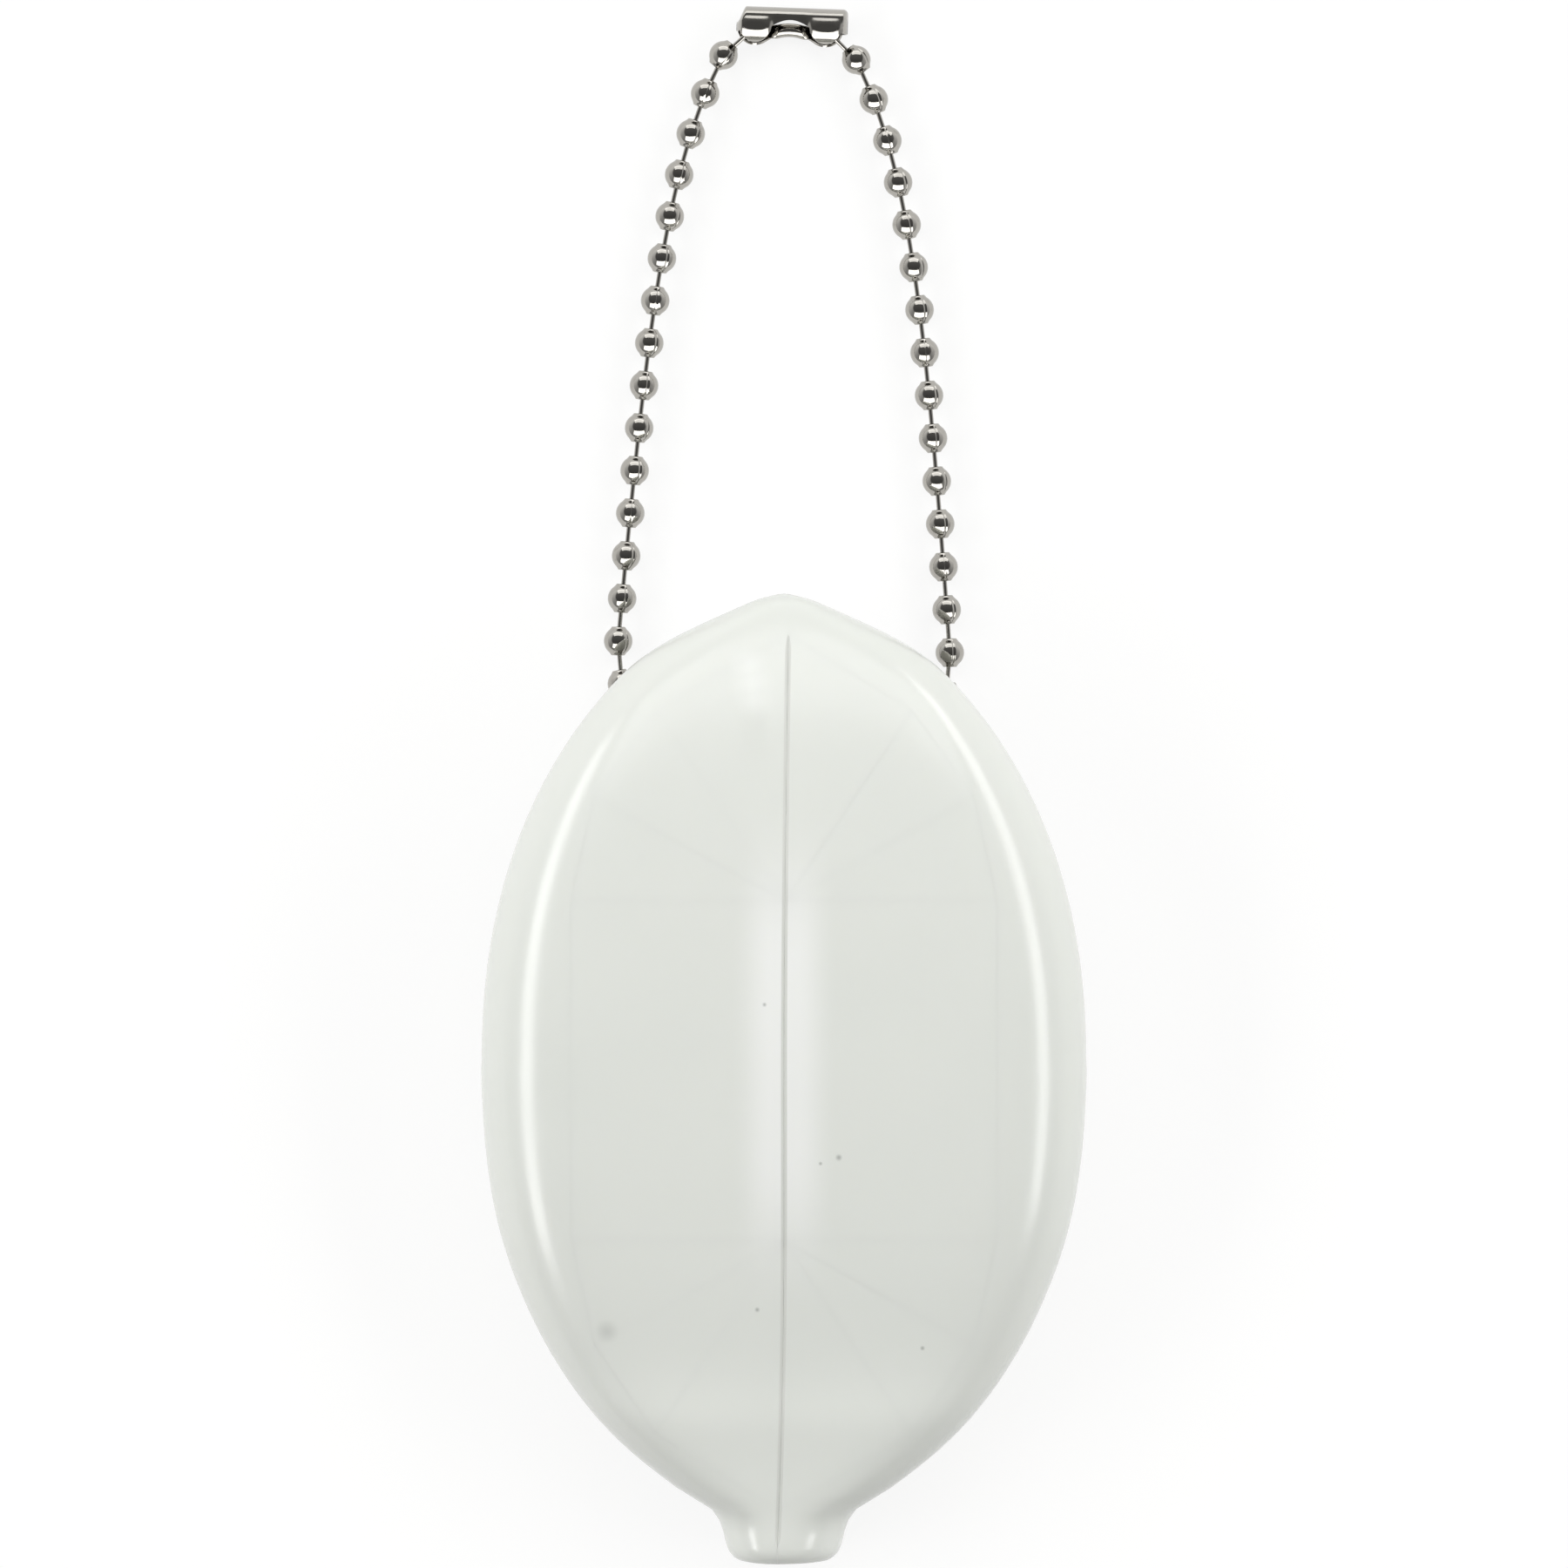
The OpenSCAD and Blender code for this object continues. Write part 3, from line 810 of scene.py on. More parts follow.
def unpolished_pvc():
    """The same vinyl, duller and greyer, with soft runs."""
    made, tree = new_material("unpolished_pvc")
    place = add(tree, "ShaderNodeAttribute", attribute_name="moulded_place").outputs["Vector"]
    runs = add(tree, "ShaderNodeTexNoise",
               {"Vector": place, "Scale": 1 / (RUN_SIZE * MM), "Detail": 4.0})
    colour = add(tree, "ShaderNodeMix",
                 {0: runs.outputs[0], 6: linear(INNER_PALE), 7: linear(INNER_GREY)},
                 data_type="RGBA")
    rough = add(tree, "ShaderNodeMapRange",
                {"Value": runs.outputs[0], "From Min": NOISE_LOW, "From Max": NOISE_HIGH,
                 "To Min": DULL, "To Max": DULLEST})
    bump = add(tree, "ShaderNodeBump",
               {"Height": runs.outputs[0], "Strength": RUN_STRENGTH, "Distance": RUN_HEIGHT * MM})
    skin = add(tree, "ShaderNodeBsdfPrincipled",
               {"Base Color": colour.outputs[2], "Roughness": rough.outputs[0],
                "Normal": bump.outputs[0], **PVC_BODY})
    add(tree, "ShaderNodeOutputMaterial", {"Surface": skin.outputs[0]})
    return made


pouch_finishes = [outer_finish, unpolished_pvc()]
print("pouch finishes:", [m.name for m in pouch_finishes])

# %% [markdown]
# ## The pouch's pieces
#
# The slit was cut by hand, so it isn't quite straight. The finished mesh is pushed a little to one
# side near the slit, laid down on the table and shared out: the back and sides ride on the pouch's
# body, and each gore is left where it lies, in place of its lip.

# %% Make the pouch's pieces, laid down in the frame
WANDER_TOP, WANDER_TOP_FROM, WANDER_TOP_CURVE = 0.36, 2, 1.5
WANDER_NECK, WANDER_NECK_FROM, WANDER_NECK_TO, WANDER_NECK_CURVE = -0.55, 12, 40, 2
WANDER_WIDE, WANDER_SHARE, WANDER_LEAST = 7, 0.5, 0.01


def wandered(point):
    """The front moved with the slit, a little to the right at the tip and to the left at the neck."""
    y = point.y
    top = WANDER_TOP * share(y, WANDER_TOP_FROM, SLIT_END) ** WANDER_TOP_CURVE
    neck = WANDER_NECK * share(-y, WANDER_NECK_FROM, WANDER_NECK_TO) ** WANDER_NECK_CURVE
    near = bell(point.x, 0, min(WANDER_WIDE, WANDER_SHARE * half_width(y) + WANDER_LEAST))
    return point + Vector(((top + neck) * near if point.z > 0 else 0, 0, 0))


def pouch_piece(name, mesh, chosen):
    """A piece of the wall as its own object, with the smooth normals that the whole wall had."""
    used = {}
    faces, finish, normals = [], [], []
    kept = mesh.attributes["moulded_normal"].data
    for index in chosen:
        face = mesh.polygons[index]
        faces.append([used.setdefault(v, len(used)) for v in face.vertices])
        finish.append(face.material_index)
        normals += [(turn.to_3x3() @ kept[k].vector).normalized() for k in face.loop_indices]
    points = [lay_down @ wandered(mesh.vertices[v].co) for v in used]
    made = mesh_object(name, points, faces)
    made.data.polygons.foreach_set("material_index", finish)
    made.data.shade_smooth()
    made.data.normals_split_custom_set(normals)
    place = made.data.attributes.new("moulded_place", "FLOAT_VECTOR", "POINT")
    place.data.foreach_set("vector", [v for p in points for v in p])
    for material in pouch_finishes:
        made.data.materials.append(material)
    return made


for name, chosen in gore_faces.items():
    piece = pouch_piece(name, blank, chosen)
    if name == "pouch_body":
        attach(piece, "pouch")
        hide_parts("pouch_shell")
        continue
    side = name.split("_")[1]
    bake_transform(piece)
    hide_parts(f"{side}_lip")
bpy.data.meshes.remove(blank)
print("pouch pieces:", len(gore_faces))

# %% [markdown]
# ## The ball chain
#
# Ball chain is made from strip: each ball is rolled round the ends of two short pins, so it is
# hollow, has a hole at each end with a rolled lip, and shows a fine seam from one hole to the other.
# Each pin is a length of wire whose ends are flattened to heads that can't pass back out.
#
# Five ball meshes, which differ in where the seam lies, serve all the balls, and one mesh all the
# pins. Each is spun from a profile, and placed by its object's own turn and place.

# %% Spin a profile round the Z axis
MERGE = 1e-4


def spun(name, profile, angles, dent=None, closed=True):
    """Profile is radius and height in mm. dent(angle, radius, height) takes mm off the radius."""
    points, faces = [], []
    for radius, height in profile:
        for angle in angles:
            a = math.radians(angle)
            r = max(0.0, radius - (dent(angle, radius, height) if dent else 0))
            points.append((r * math.cos(a) * MM, r * math.sin(a) * MM, height * MM))
    around, rings = len(angles), len(profile)
    for k in range(rings if closed else rings - 1):
        low, high = k * around, (k + 1) % rings * around
        for n in range(around):
            m = (n + 1) % around
            faces.append((low + n, low + m, high + m, high + n))
    mesh = bpy.data.meshes.new(name)
    mesh.from_pydata(points, [], faces)
    shape = bmesh.new()
    shape.from_mesh(mesh)
    bmesh.ops.remove_doubles(shape, verts=shape.verts, dist=MERGE * MM)
    bmesh.ops.recalc_face_normals(shape, faces=shape.faces)
    shape.to_mesh(mesh)
    shape.free()
    mesh.shade_smooth()
    return mesh


def mirrored(half):
    """A profile and its mirror image below."""
    return half + [(radius, -height) for radius, height in reversed(half)]


print("a mirrored profile:", mirrored([(1, 2), (3, 1)]))

# %% One ball: rolled strip with two lipped holes and a seam
BALL_WALL = 0.2
OUTER_FROM, OUTER_STEP, OUTER_POINTS = -51, 6, 18
INNER_FROM, INNER_STEP, INNER_POINTS = 56, 16, 8
# Radius and height of each point of a hole's rolled lip, from outside to inside.
HOLE_LIP = [(0.68, 1.02), (0.61, 1.11), (0.57, 1.18), (0.53, 1.19), (0.5, 1.16), (0.5, 0.98)]
SEAM_DEPTH, SEAM_HALF_ANGLE, SEAM_CLEAR, SEAM_LEAST = 0.09, 4.0, 9, 0.7
SEAM_LEANS = (8, 16, 24, 32, 40)
BALL_SIDES = 32


def arc(radius, start, step, count):
    """Points of a round profile, every so many degrees."""
    angles = [math.radians(start + step * k) for k in range(count)]
    return [(radius * math.cos(a), radius * math.sin(a)) for a in angles]


def ball_profile():
    """Outside, upper lip, inside and lower lip."""
    outer = arc(BALL_RADIUS, OUTER_FROM, OUTER_STEP, OUTER_POINTS)
    inner = arc(BALL_RADIUS - BALL_WALL, INNER_FROM, -INNER_STEP, INNER_POINTS)
    return outer + HOLE_LIP + inner + [(radius, -height) for radius, height in reversed(HOLE_LIP)]


def rolled_ball(lean):
    """A ball whose seam is turned by lean degrees from the ball's own X axis."""
    def seam(angle, radius, height):
        return SEAM_DEPTH * radius / BALL_RADIUS if angle == lean and radius > SEAM_LEAST else 0

    clear = 360 - 2 * SEAM_CLEAR
    angles = [lean, lean + SEAM_HALF_ANGLE]
    angles += [lean + SEAM_CLEAR + clear * k / BALL_SIDES for k in range(BALL_SIDES + 1)]
    angles.append(lean + 360 - SEAM_HALF_ANGLE)
    return spun(f"rolled_ball_{lean}", ball_profile(), angles, dent=seam)


ball_meshes = [rolled_ball(lean) for lean in SEAM_LEANS]
print("ball:", len(ball_meshes[0].polygons), "faces")

# %% One pin: a wire with a flattened head at each end
WIRE_RADIUS = 0.19
HEAD_RADIUS, HEAD_THICK, HEAD_SHORT = 0.64, 0.2, 0.42
WIRE_STEP = 0.4
PIN_SIDES = 20


def pin_profile():
    """From the middle of one head to the middle of the other. Each corner is a little broken."""
    end = PITCH / 2 - HEAD_SHORT
    under = end - HEAD_THICK
    return mirrored([(0, end), (HEAD_RADIUS - 0.08, end), (HEAD_RADIUS, end - 0.07),
                     (HEAD_RADIUS, under + 0.06), (HEAD_RADIUS - 0.07, under),
                     (WIRE_RADIUS + 0.05, under), (WIRE_RADIUS, under - 0.06),
                     (WIRE_RADIUS, WIRE_STEP)])


pin_angles = [360 / PIN_SIDES * k for k in range(PIN_SIDES)]
pin_mesh = spun("headed_pin", pin_profile(), pin_angles, closed=False)
print("pin:", len(pin_mesh.polygons), "faces")

# %% [markdown]
# ### Nickel plate
#
# Bright nickel over steel mirrors the room with a faintly warm grey. Tumbling leaves tiny dents and
# a soft haze on the balls, and where dirt gathers the plate looks darker. The wire is drawn, so its
# fine lines run along it, and the sleeve is punched from rolled sheet, whose lines run along the
# sleeve. Real scratches are too fine to show, so the patterns are drawn coarser, at 0.08 to 0.5 mm.

# %% Plated finishes
NICKEL, TARNISH = "#b0ada7", "#6b665f"
HAZE_LOW, HAZE_HIGH = 0.3, 0.75
DIRT_FROM, DIRT_FULL, DIRT_MOST = 0.58, 0.8, 0.35
DENT_STRENGTH = 0.3


def plated(name, scratch_size, stretch, rough_low, rough_high, dent):
    """Sizes are in mm. stretch scales the pattern along each axis, so that 0.1 draws it out."""
    made, tree = new_material(name)
    place = add(tree, "ShaderNodeTexCoord").outputs["Object"]
    offset = add(tree, "ShaderNodeObjectInfo").outputs["Random"]
    moved = add(tree, "ShaderNodeVectorMath", {0: place, 1: offset}, operation="ADD")
    lined = add(tree, "ShaderNodeMapping", {"Vector": moved.outputs[0], "Scale": stretch})
    haze = add(tree, "ShaderNodeTexNoise",
               {"Vector": lined.outputs[0], "Scale": 1 / (scratch_size * MM), "Detail": 4.0})
    rough = add(tree, "ShaderNodeMapRange",
                {"Value": haze.outputs[0], "From Min": HAZE_LOW, "From Max": HAZE_HIGH,
                 "To Min": rough_low, "To Max": rough_high})
    dirt = add(tree, "ShaderNodeMapRange",
               {"Value": haze.outputs[0], "From Min": DIRT_FROM, "From Max": DIRT_FULL,
                "To Min": 0.0, "To Max": DIRT_MOST})
    colour = add(tree, "ShaderNodeMix",
                 {0: dirt.outputs[0], 6: linear(NICKEL), 7: linear(TARNISH)}, data_type="RGBA")
    bump = add(tree, "ShaderNodeBump",
               {"Height": haze.outputs[0], "Strength": DENT_STRENGTH, "Distance": dent * MM})
    metal = add(tree, "ShaderNodeBsdfPrincipled",
                {"Base Color": colour.outputs[2], "Metallic": 1.0, "Roughness": rough.outputs[0],
                 "Normal": bump.outputs[0]})
    add(tree, "ShaderNodeOutputMaterial", {"Surface": metal.outputs[0]})
    return made


tumbled_nickel = plated("tumbled_nickel_plate", 0.5, (1, 1, 1), 0.05, 0.14, 0.008)
drawn_nickel = plated("drawn_nickel_wire", 0.08, (1, 1, 0.08), 0.1, 0.22, 0.004)
rolled_nickel = plated("rolled_nickel_sheet", 0.3, (0.1, 1, 1), 0.1, 0.2, 0.004)
for ball_mesh in ball_meshes:
    ball_mesh.materials.append(tumbled_nickel)
pin_mesh.materials.append(drawn_nickel)
print("metal finishes:", [m.name for m in (tumbled_nickel, drawn_nickel, rolled_nickel)])

# %% [markdown]
# ### Threading the chain
#
# A ball hangs between two wires, so its holes point somewhere between them. When the chain bends, a
# ball in sight turns with its own row, and a share of a little over a half towards the wire above it
# keeps that wire clear of the hole's lip at both limits.

# %% Place the balls and pins
# How much a ball's holes face the wire above it: of a ball that swings, and of one that doesn't.
SWING_SHARE, STILL_SHARE = 0.6, 0.5


def bore(name, i):
    """Which way a ball's holes point: between its two wires."""
    balls, other = chain[name], chain["left" if name == "right" else "right"]
    here = balls[i]
    below = other[i] if i == len(balls) - 1 else balls[i + 1]
    above = balls[i - 1] if i > 0 else 2 * here - below
    held = STILL_SHARE if i > VISIBLE else SWING_SHARE
    return (held * (above - here).normalized() + (1 - held) * (here - below).normalized()).normalized()


def put(name, mesh, middle, axis, node):
    """Places a shared mesh, its middle in mm, its Z along axis and its X turned upward."""
    made = bpy.data.objects.new(name, mesh)
    bpy.context.scene.collection.objects.link(made)
    front = (UP - axis * UP.dot(axis)).normalized()
    turned = Matrix((front, axis.cross(front), axis)).transposed()
    made.matrix_world = Matrix.Translation(middle * MM) @ turned.to_4x4()
    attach(made, frame["nodes"][node]["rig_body"])
    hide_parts(node)


def put_pin(name, a, b, node):
    """Places a pin whose heads are held in the balls at a and b."""
    put(name, pin_mesh, (a + b) / 2, (a - b).normalized(), node)


def ball_node(name, i):
    """The frame's part that a ball stands for, counted from the sleeve."""
    if i == 0:
        return f"end_ball_{name}"
    if i <= VISIBLE:
        return f"ball_{name}_{i:02d}"
    return "under_balls" if i <= CLIMB else "inner_balls"


def link_node(i):
    """The frame's part that the pin below ball i stands for."""
    return f"links_{i:02d}" if i < VISIBLE else "hidden_links"


for name, balls in chain.items():
    for i, middle in enumerate(balls):
        ball_mesh = ball_meshes[(3 * i + SIDES[name]) % len(ball_meshes)]
        put(f"rolled_ball_{name}_{i:02d}", ball_mesh, middle, bore(name, i), ball_node(name, i))
    for i, (a, b) in enumerate(zip(balls, balls[1:])):
        put_pin(f"pin_{name}_{i:02d}", a, b, link_node(i))
put_pin("pin_crossing", chain["left"][-1], chain["right"][-1], "hidden_links")
print("balls:", sum(mesh.users for mesh in ball_meshes), "pins:", pin_mesh.users)

# %% [markdown]
# ## The sleeve
#
# The sleeve is one piece of sheet, punched and folded once along its straight back edge. Each end is
# pressed over a former into a cup that holds an end ball. Between the cups the top sheet is cut back
# to a high arch, and the lower sheet is pinched up to a rounded bar, the waist, with a window behind
# it. The wires leave through the open front.
#
# A folded sheet is drawn here as it is made: one skin that starts at the front edge of the lower
# sheet, runs back, turns over at the fold and comes forward again as the top sheet. Its height is
# that of a flat plate with two domes. It is then given its thickness, its edges are broken, and the
# slots that let the wires swing are cut out.

# %% The sleeve's plan, in mm from the middle of its two end balls
CUP_RADIUS, PLATE_HEIGHT = 1.51, 1.13
SLEEVE_BACK, SLEEVE_LEFT, SLEEVE_RIGHT = 1.7, 1.55, 1.85
SIDE_FRONT, CORNER = 0.39, 0.42
SLOPE_LOW, SLOPE_RUN = 0.34, 0.79
TOP_REACH, LOW_REACH, LOW_WAIST = 1.3, 1.48, -0.52
ARCH_TOP, ARCH_CURVE = 0.6, 0.24
WINDOW_LOW, WINDOW_CURVE, WINDOW_HALF = 0.2, 0.06, 1.45
end_balls = [chain["left"][0], chain["right"][0]]
ball_x = (end_balls[1] - end_balls[0]).length / 2


def lobe(x, reach):
    """y of a front edge round the nearer cup, and along the short side past it."""
    return -math.sqrt(max(SIDE_FRONT**2, reach**2 - (abs(x) - ball_x) ** 2))


def top_front(x):
    """The top sheet's front edge: round each cup, and over a high arch between them."""
    return ARCH_TOP - ARCH_CURVE * x**2 if abs(x) < ball_x - TOP_REACH else lobe(x, TOP_REACH)


def low_front(x):
    """The lower sheet's front edge: round each cup, and over the waist, a curve that touches both."""
    radius = (ball_x**2 + LOW_WAIST**2 - LOW_REACH**2) / 2 / (LOW_REACH + LOW_WAIST)
    if abs(x) < ball_x * radius / (radius + LOW_REACH):
        return LOW_WAIST - radius + math.sqrt(radius**2 - x**2)
    return lobe(x, LOW_REACH)


def window_front(x):
    """The window's front edge in the lower sheet, just behind the waist."""
    return WINDOW_LOW - WINDOW_CURVE * x**2


def back_edge(x):
    """The folded edge, which slopes away at the left corner and is rounded at the right one."""
    left = SLOPE_LOW + (SLEEVE_BACK - SLOPE_LOW) * eased(x + ball_x + SLEEVE_LEFT, 0, SLOPE_RUN)
    into = CORNER * (1 - share(ball_x + SLEEVE_RIGHT - x, 0, CORNER))
    return min(left, SLEEVE_BACK - CORNER + math.sqrt(CORNER**2 - into**2))


print("arch and waist, mm:", round(top_front(0), 2), round(low_front(0), 2))

# %% Its height, as a distance from the middle plane
FOLD_DEPTH, END_DEPTH, END_LEAST = 0.8, 0.45, 0.3
PLATE_FADE, DOME_FILLET = 0.9, 0.3
DOME_HALF, DOME_POWER = 1.75, 4
PINCH, PINCH_WIDE, WAIST_ROUND = 0.5, 1.6, 0.3
WAIST_FADES, WAIST_GONE, WAIST_LEAST = -0.5, 0.3, 0.01


def skin_height(x, y):
    """Half the sleeve's thickness at a place: a plate and two domes, rounded at the ends."""
    plate = PLATE_HEIGHT * math.sqrt(1 - share(-y, 0, PLATE_FADE) ** 2)
    off = share(abs(abs(x) - ball_x), 0, DOME_HALF)
    dome = math.sqrt(max(0.0, CUP_RADIUS**2 - y**2) * (1 - off**DOME_POWER))
    height = min(CUP_RADIUS, soft_max(dome, plate, DOME_FILLET * (1 - share(-y, 0, PLATE_FADE))))
    end = min(x + ball_x + SLEEVE_LEFT, ball_x + SLEEVE_RIGHT - x)
    return height * max(END_LEAST, math.sqrt(1 - (1 - share(end, 0, END_DEPTH)) ** 2))


def low_height(x, y):
    """The same for the lower sheet, which is pinched up to a rounded bar at the waist."""
    cup_side = ball_x - CUP_RADIUS
    cup = eased(abs(x), cup_side + WAIST_FADES, cup_side + WAIST_GONE)
    pinch = PINCH * bell(x, 0, PINCH_WIDE) * (1 - eased(y, WINDOW_LOW, ARCH_TOP))
    front, low = low_front(x), window_front(x)
    across = min(1.0, abs(2 * y - front - low) / max(low - front, WAIST_LEAST))
    bar = WAIST_ROUND * math.sqrt(1 - across**2)
    waist = skin_height(0, max(y, 0)) * (1 - pinch) - bar
    return waist * (1 - cup) + skin_height(x, y) * cup


print("highest, mm:", skin_height(ball_x, 0))

# %% The skin, station by station from the left end to the right one
STATIONS, LOW_STEPS, WINDOW_STEPS, FOLD_STEPS, TOP_STEPS = 150, 10, 6, 16, 22
TURN_LEAST, WINDOW_PAST = 0.3, 0.1
WINDOW_ROWS = range(LOW_STEPS, LOW_STEPS + WINDOW_STEPS)
SKIN_MERGE = 1e-3


def station(x):
    """Points from the lower sheet's front edge, round the fold, to the top sheet's front edge."""
    back, front, top = back_edge(x), low_front(x), top_front(x)
    turn_y = max(back - FOLD_DEPTH, TURN_LEAST * back)
    low = window_front(x)
    if abs(x) > WINDOW_HALF:
        low = max(low, 0.5 * (front + turn_y))
    high = max(low, min(turn_y, ARCH_TOP + WINDOW_PAST))
    ys = [front + (low - front) * k / LOW_STEPS for k in range(LOW_STEPS)]
    ys += [low + (high - low) * k / WINDOW_STEPS for k in range(WINDOW_STEPS)]
    points = [Vector((x, y, -low_height(x, y))) for y in ys]
    # The fold is half an ellipse, from the lower sheet to the top one.
    for k in range(2 * FOLD_STEPS + 1):
        a = math.pi * k / 2 / FOLD_STEPS
        y = turn_y + (back - turn_y) * math.sin(a)
        points.append(Vector((x, y, -skin_height(x, turn_y) * math.cos(a))))
    ys = [turn_y + (top - turn_y) * k / TOP_STEPS for k in range(1, TOP_STEPS + 1)]
    return points + [Vector((x, y, skin_height(x, y))) for y in ys]


def sleeve_skin():
    """The whole skin as an object, with no faces where the window is."""
    left, long = -ball_x - SLEEVE_LEFT, 2 * ball_x + SLEEVE_LEFT + SLEEVE_RIGHT
    xs = [left + long * (1 - math.cos(math.pi * k / STATIONS)) / 2 for k in range(STATIONS + 1)]
    rows = [station(x) for x in xs]
    count = len(rows[0])
    faces = []
    for n in range(STATIONS):
        window = max(abs(xs[n]), abs(xs[n + 1])) < WINDOW_HALF
        for k in range(count - 1):
            if not (window and k in WINDOW_ROWS):
                a, b = n * count + k, (n + 1) * count + k
                faces.append([a, b, b + 1, a + 1])
    made = mesh_object("folded_sleeve", [v for row in rows for v in row], faces)
    shape = bmesh.new()
    shape.from_mesh(made.data)
    bmesh.ops.remove_doubles(shape, verts=shape.verts, dist=SKIN_MERGE)
    bmesh.ops.delete(shape, geom=[v for v in shape.verts if not v.link_faces], context="VERTS")
    bmesh.ops.recalc_face_normals(shape, faces=shape.faces)
    shape.to_mesh(made.data)
    shape.free()
    return made


sleeve = sleeve_skin()
print("skin:", len(sleeve.data.polygons), "faces")

# %% Its thickness, broken edges and wire slots
SHEET, EDGE_BREAK, EDGE_STEPS = 0.22, 0.05, 2
SLOT_WIDE, SLOT_HIGH, SLOT_LONG = 0.95, 1.3, 3
WORN_ABOVE = math.radians(60)
line = (end_balls[1] - end_balls[0]).normalized()
stand = Matrix((line, UP.cross(line), UP)).transposed().to_4x4()
stand = Matrix.Scale(MM, 4) @ Matrix.Translation((end_balls[0] + end_balls[1]) / 2) @ stand


def wire_slots():
    """A box along each wire, out through the front of its cup."""
    shape = bmesh.new()
    size = Matrix.Diagonal((SLOT_LONG, SLOT_WIDE, SLOT_HIGH, 1))
    reach = Matrix.Translation((SLOT_LONG / 2, 0, 0))
    for name in SIDES:
        along = stand.inverted().to_3x3() @ (chain[name][1] - chain[name][0])
        place = Matrix.Translation((SIDES[name] * ball_x, 0, 0))
        place = place @ Matrix.Rotation(math.atan2(along.y, along.x), 4, "Z")
        bmesh.ops.create_cube(shape, size=1, matrix=place @ reach @ size)
    cutter = mesh_object("slots", [], [])
    shape.to_mesh(cutter.data)
    shape.free()
    return cutter


def take_finished(made):
    """Applies the object's modifiers, so that its mesh is the finished one."""
    mesh = finished_mesh(made)
    made.modifiers.clear()
    made.data = mesh


def keep_largest(mesh):
    """Drops the loose slivers that a cut leaves, and keeps the sheet."""
    shape = bmesh.new()
    shape.from_mesh(mesh)
    unseen, largest = set(shape.faces), []
    while unseen:
        part = [unseen.pop()]
        for face in part:
            near = {other for vertex in face.verts for other in vertex.link_faces} & unseen
            unseen -= near
            part.extend(near)
        largest = max(largest, part, key=len)
    kept = set(largest)
    loose = [face for face in shape.faces if face not in kept]
    bmesh.ops.delete(shape, geom=loose, context="FACES")
    shape.to_mesh(mesh)
    shape.free()


def make_sheet(made):
    """Turns the skin into a slotted sheet, stands it on the end balls and plates it."""
    thick = made.modifiers.new("sheet", "SOLIDIFY")
    thick.thickness, thick.offset = SHEET, -1
    worn = made.modifiers.new("worn_edges", "BEVEL")
    worn.width, worn.segments, worn.angle_limit = EDGE_BREAK, EDGE_STEPS, WORN_ABOVE
    take_finished(made)
    cutter = wire_slots()
    take = made.modifiers.new("slots", "BOOLEAN")
    take.object, take.solver, take.use_self = cutter, "EXACT", True
    take_finished(made)
    bpy.data.objects.remove(cutter)
    keep_largest(made.data)
    made.data.transform(stand)
    made.data.shade_smooth()
    made.data.set_sharp_from_angle(angle=SHARP)
    made.data.materials.clear()
    made.data.materials.append(rolled_nickel)


make_sheet(sleeve)
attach(sleeve, "sleeve")
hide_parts("sleeve")
print("sleeve:", len(sleeve.data.polygons), "faces")

# %% [markdown]
# ## The table and the light
#
# The picture has a white ground with hardly a shadow. The table is white paper: to the lens and to
# reflections it glows a little, which lifts it to white without more light on the object, and the
# rest of it is plain paper that keeps the shadow. Two long low soft boxes, left and right, draw the
# thin streaks on the shoulders, and a wide one beyond the tip lights the upper end. The chain has
# two of its own, the lower of which gives each ball its bright lower half. Overhead, where the camera
# is, the room is dark, and it is dimmer towards the neck than towards the tip.

# %% White paper table
PAPER = "#b8b8b6"
PAPER_GLOW, PAPER_SHARE = 1.3, 0.65
PAPER_SIZE = 4
WHITE = (1, 1, 1, 1)


def white_paper():
    """Plain paper, mixed with a glow that only the lens, mirrors and glass see."""
    made, tree = new_material("white_paper")
    paper = add(tree, "ShaderNodeBsdfDiffuse", {"Color": linear(PAPER)})
    glow = add(tree, "ShaderNodeEmission", {"Color": WHITE, "Strength": PAPER_GLOW})
    path = add(tree, "ShaderNodeLightPath")
    seen = path.outputs["Is Camera Ray"]
    for ray in ("Is Glossy Ray", "Is Transmission Ray"):
        seen = add(tree, "ShaderNodeMath", {0: seen, 1: path.outputs[ray]},
                   operation="MAXIMUM").outputs[0]
    part = add(tree, "ShaderNodeMath", {0: seen, 1: PAPER_SHARE}, operation="MULTIPLY")
    mixed = add(tree, "ShaderNodeMixShader",
                {0: part.outputs[0], 1: paper.outputs[0], 2: glow.outputs[0]})
    add(tree, "ShaderNodeOutputMaterial", {"Surface": mixed.outputs[0]})
    return made


corners = [(x * PAPER_SIZE, y * PAPER_SIZE, 0) for x, y in ((-1, -1), (1, -1), (1, 1), (-1, 1))]
table = mesh_object("table", corners, [(0, 1, 2, 3)])
table.data.materials.append(white_paper())
print("table, m:", 2 * PAPER_SIZE, "square")

# %% Room: bright near the table, dark overhead
# Strengths of the room's light, where 1 is white, and the directions between which it changes.
NECK_LIGHT, TIP_LIGHT, END_REACH = 0.36, 1.15, 0.7
LOW_LIGHT, HIGH_LIGHT, HIGH_REACH = 1.0, 0.6, 0.7
DARK_TOWARDS = (0.0, 0.26, 0.966)
DARK_SHARE, DARK_EDGE, DARK_INSIDE = 0.22, 0.54, 0.66


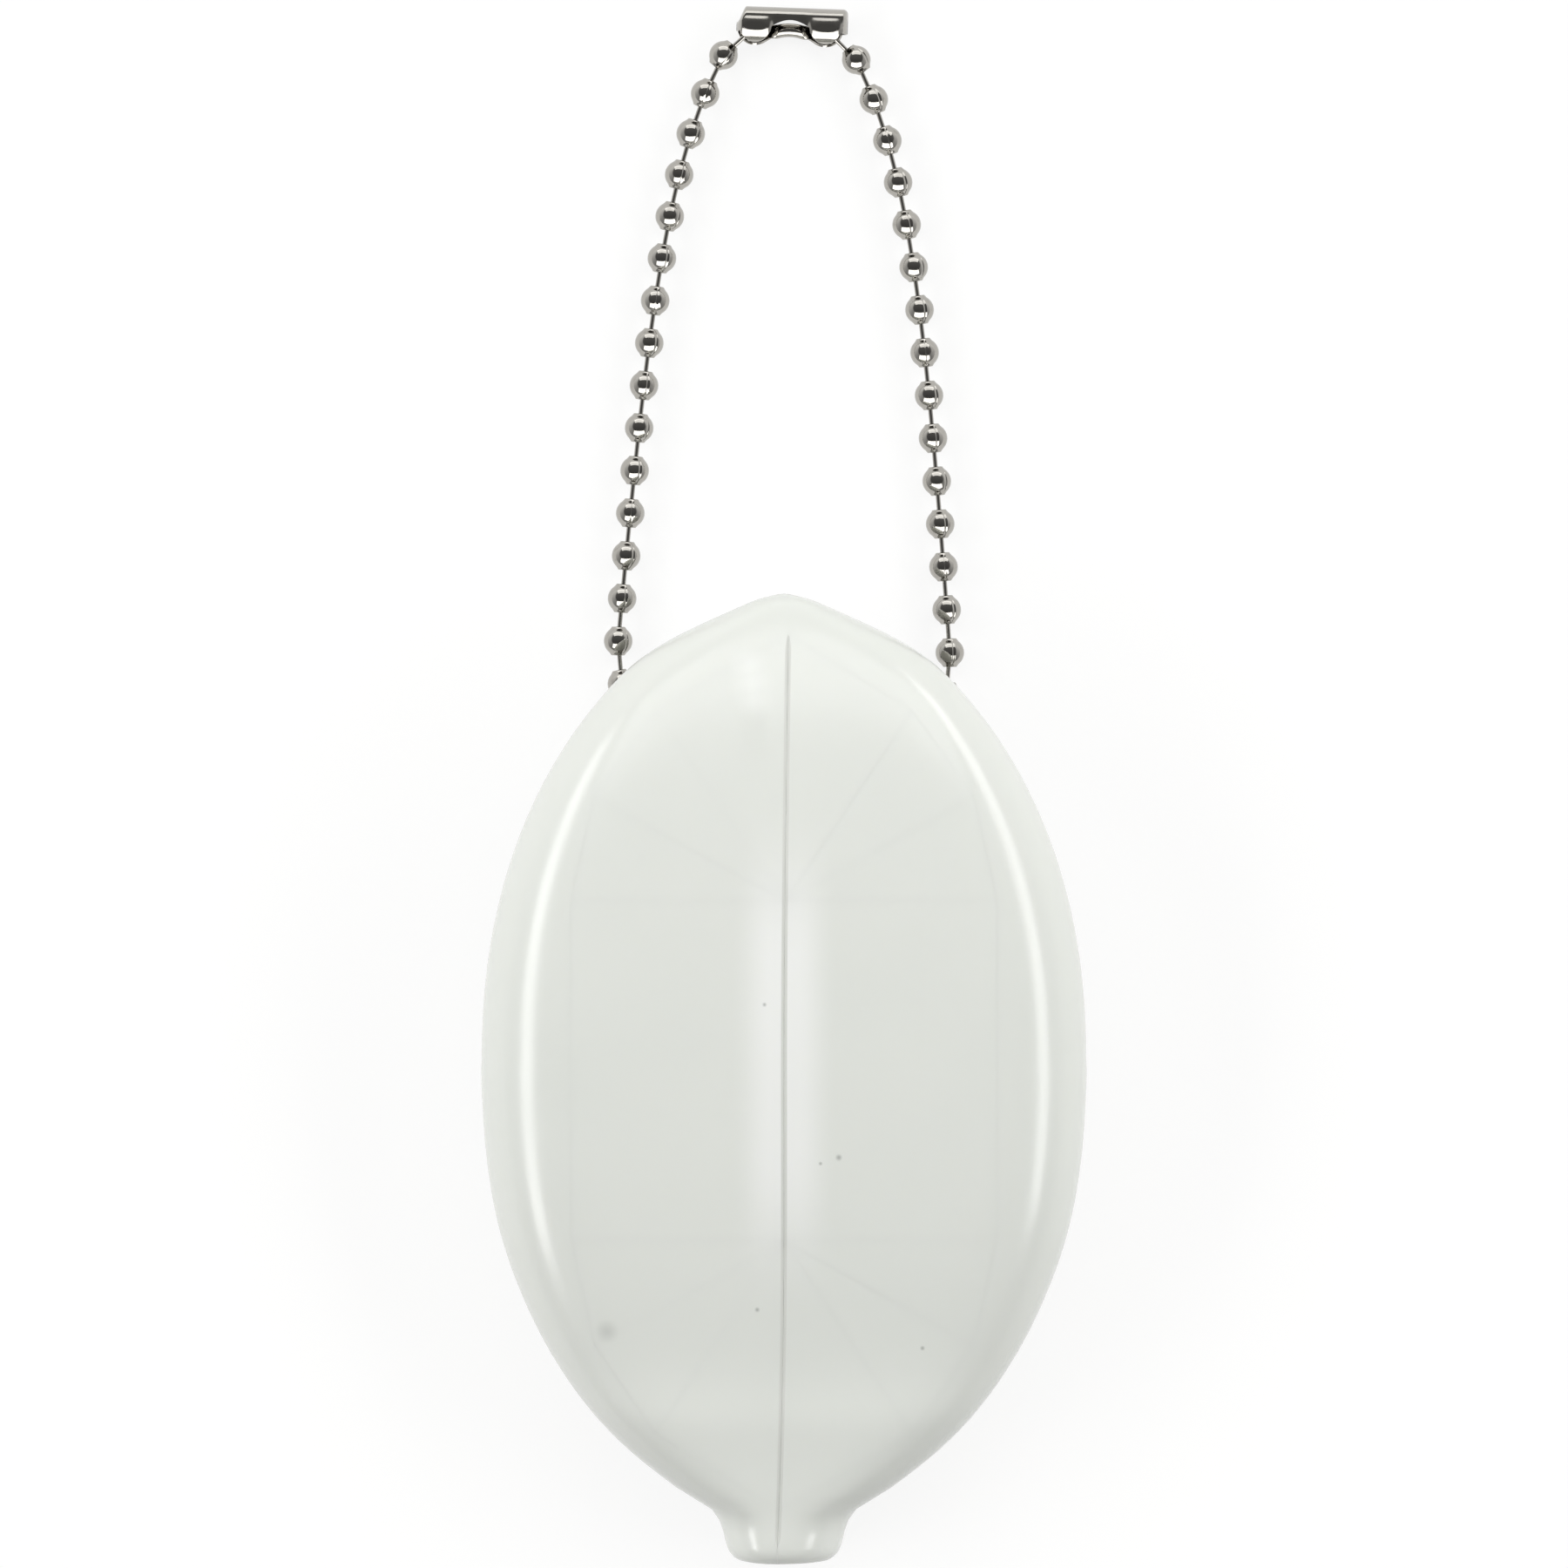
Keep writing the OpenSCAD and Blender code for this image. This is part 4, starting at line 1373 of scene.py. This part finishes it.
def dim_room():
    """A world that is pale low down, dimmer upward and towards the neck, and dark overhead."""
    world = bpy.data.worlds.new("dim_room")
    world.use_nodes = True
    tree = world.node_tree
    tree.nodes.clear()
    towards = add(tree, "ShaderNodeTexCoord").outputs["Generated"]
    across = add(tree, "ShaderNodeSeparateXYZ", {0: towards})
    ends = add(tree, "ShaderNodeMapRange",
               {"Value": across.outputs["Y"], "From Min": -END_REACH, "From Max": END_REACH,
                "To Min": NECK_LIGHT, "To Max": TIP_LIGHT})
    upward = add(tree, "ShaderNodeMapRange",
                 {"Value": across.outputs["Z"], "From Min": 0.0, "From Max": HIGH_REACH,
                  "To Min": LOW_LIGHT, "To Max": HIGH_LIGHT})
    walls = add(tree, "ShaderNodeMath", {0: ends.outputs[0], 1: upward.outputs[0]},
                operation="MULTIPLY")
    aim = add(tree, "ShaderNodeVectorMath", {0: towards, 1: DARK_TOWARDS}, operation="DOT_PRODUCT")
    overhead = add(tree, "ShaderNodeMapRange",
                   {"Value": aim.outputs["Value"], "From Min": DARK_EDGE, "From Max": DARK_INSIDE,
                    "To Min": 1.0, "To Max": DARK_SHARE})
    level = add(tree, "ShaderNodeMath", {0: walls.outputs[0], 1: overhead.outputs[0]},
                operation="MULTIPLY")
    light = add(tree, "ShaderNodeBackground", {"Color": WHITE, "Strength": level.outputs[0]})
    add(tree, "ShaderNodeOutputWorld", {"Surface": light.outputs[0]})
    return world


bpy.context.scene.world = dim_room()
bpy.context.scene.view_settings.view_transform = "Standard"
print("room:", bpy.context.scene.world.name)

# %% Soft boxes
LAMP_AWAY = 2.0
SIDE_RADIANCE, RIGHT_SHARE = 6.2, 0.85


def soft_box(name, towards, level, upright, radiance):
    """A lamp facing the object. Its sides are in metres, and a radiance of 1 looks like paper."""
    lamp = bpy.data.lights.new(name, "AREA")
    lamp.shape = "RECTANGLE"
    lamp.size, lamp.size_y = level, upright
    lamp.energy = radiance * math.pi * level * upright
    made = bpy.data.objects.new(name, lamp)
    bpy.context.scene.collection.objects.link(made)
    made.location = Vector(towards).normalized() * LAMP_AWAY
    made.rotation_mode = "QUATERNION"
    made.rotation_quaternion = made.location.to_track_quat("Z", "Y")
    return made


# Each lamp has a direction from the object, a level and an upright side, and a radiance.
pouch_lamps = [
    soft_box("left_box", (-0.837, 0.03, 0.545), 2.3, 0.5, SIDE_RADIANCE),
    soft_box("right_box", (0.81, 0.217, 0.545), 2.8, 0.5, RIGHT_SHARE * SIDE_RADIANCE),
    soft_box("tip_box", (0.0, 0.53, 0.848), 2.6, 0.95, 1.8),
]
chain_lamps = [
    soft_box("chain_tip_box", (0.0, 0.866, 0.5), 2.4, 1.1, 1.5),
    soft_box("chain_low_box", (0.0, -0.71, 0.7), 3.4, 1.5, 3.0),
]
print("lamps:", [lamp.name for lamp in pouch_lamps + chain_lamps])

# %% Cards that keep each lamp's light to its own pieces
METAL_NAMES = ("rolled_ball", "pin_", "folded_sleeve")


def lights_only(lamp, pieces):
    """Links a lamp to the pieces that it is meant for."""
    chosen = bpy.data.collections.new(lamp.name + "_set")
    for piece in pieces:
        chosen.objects.link(piece)
    lamp.light_linking.receiver_collection = chosen


meshes = [piece for piece in bpy.context.scene.objects if piece.type == "MESH"]
metal = [piece for piece in meshes if piece.name.startswith(METAL_NAMES)]
rest = [piece for piece in meshes if piece not in metal]
for lamps, pieces in ((chain_lamps, metal), (pouch_lamps, rest)):
    for lamp in lamps:
        lights_only(lamp, pieces)
print("metal pieces:", len(metal), "others:", len(rest))
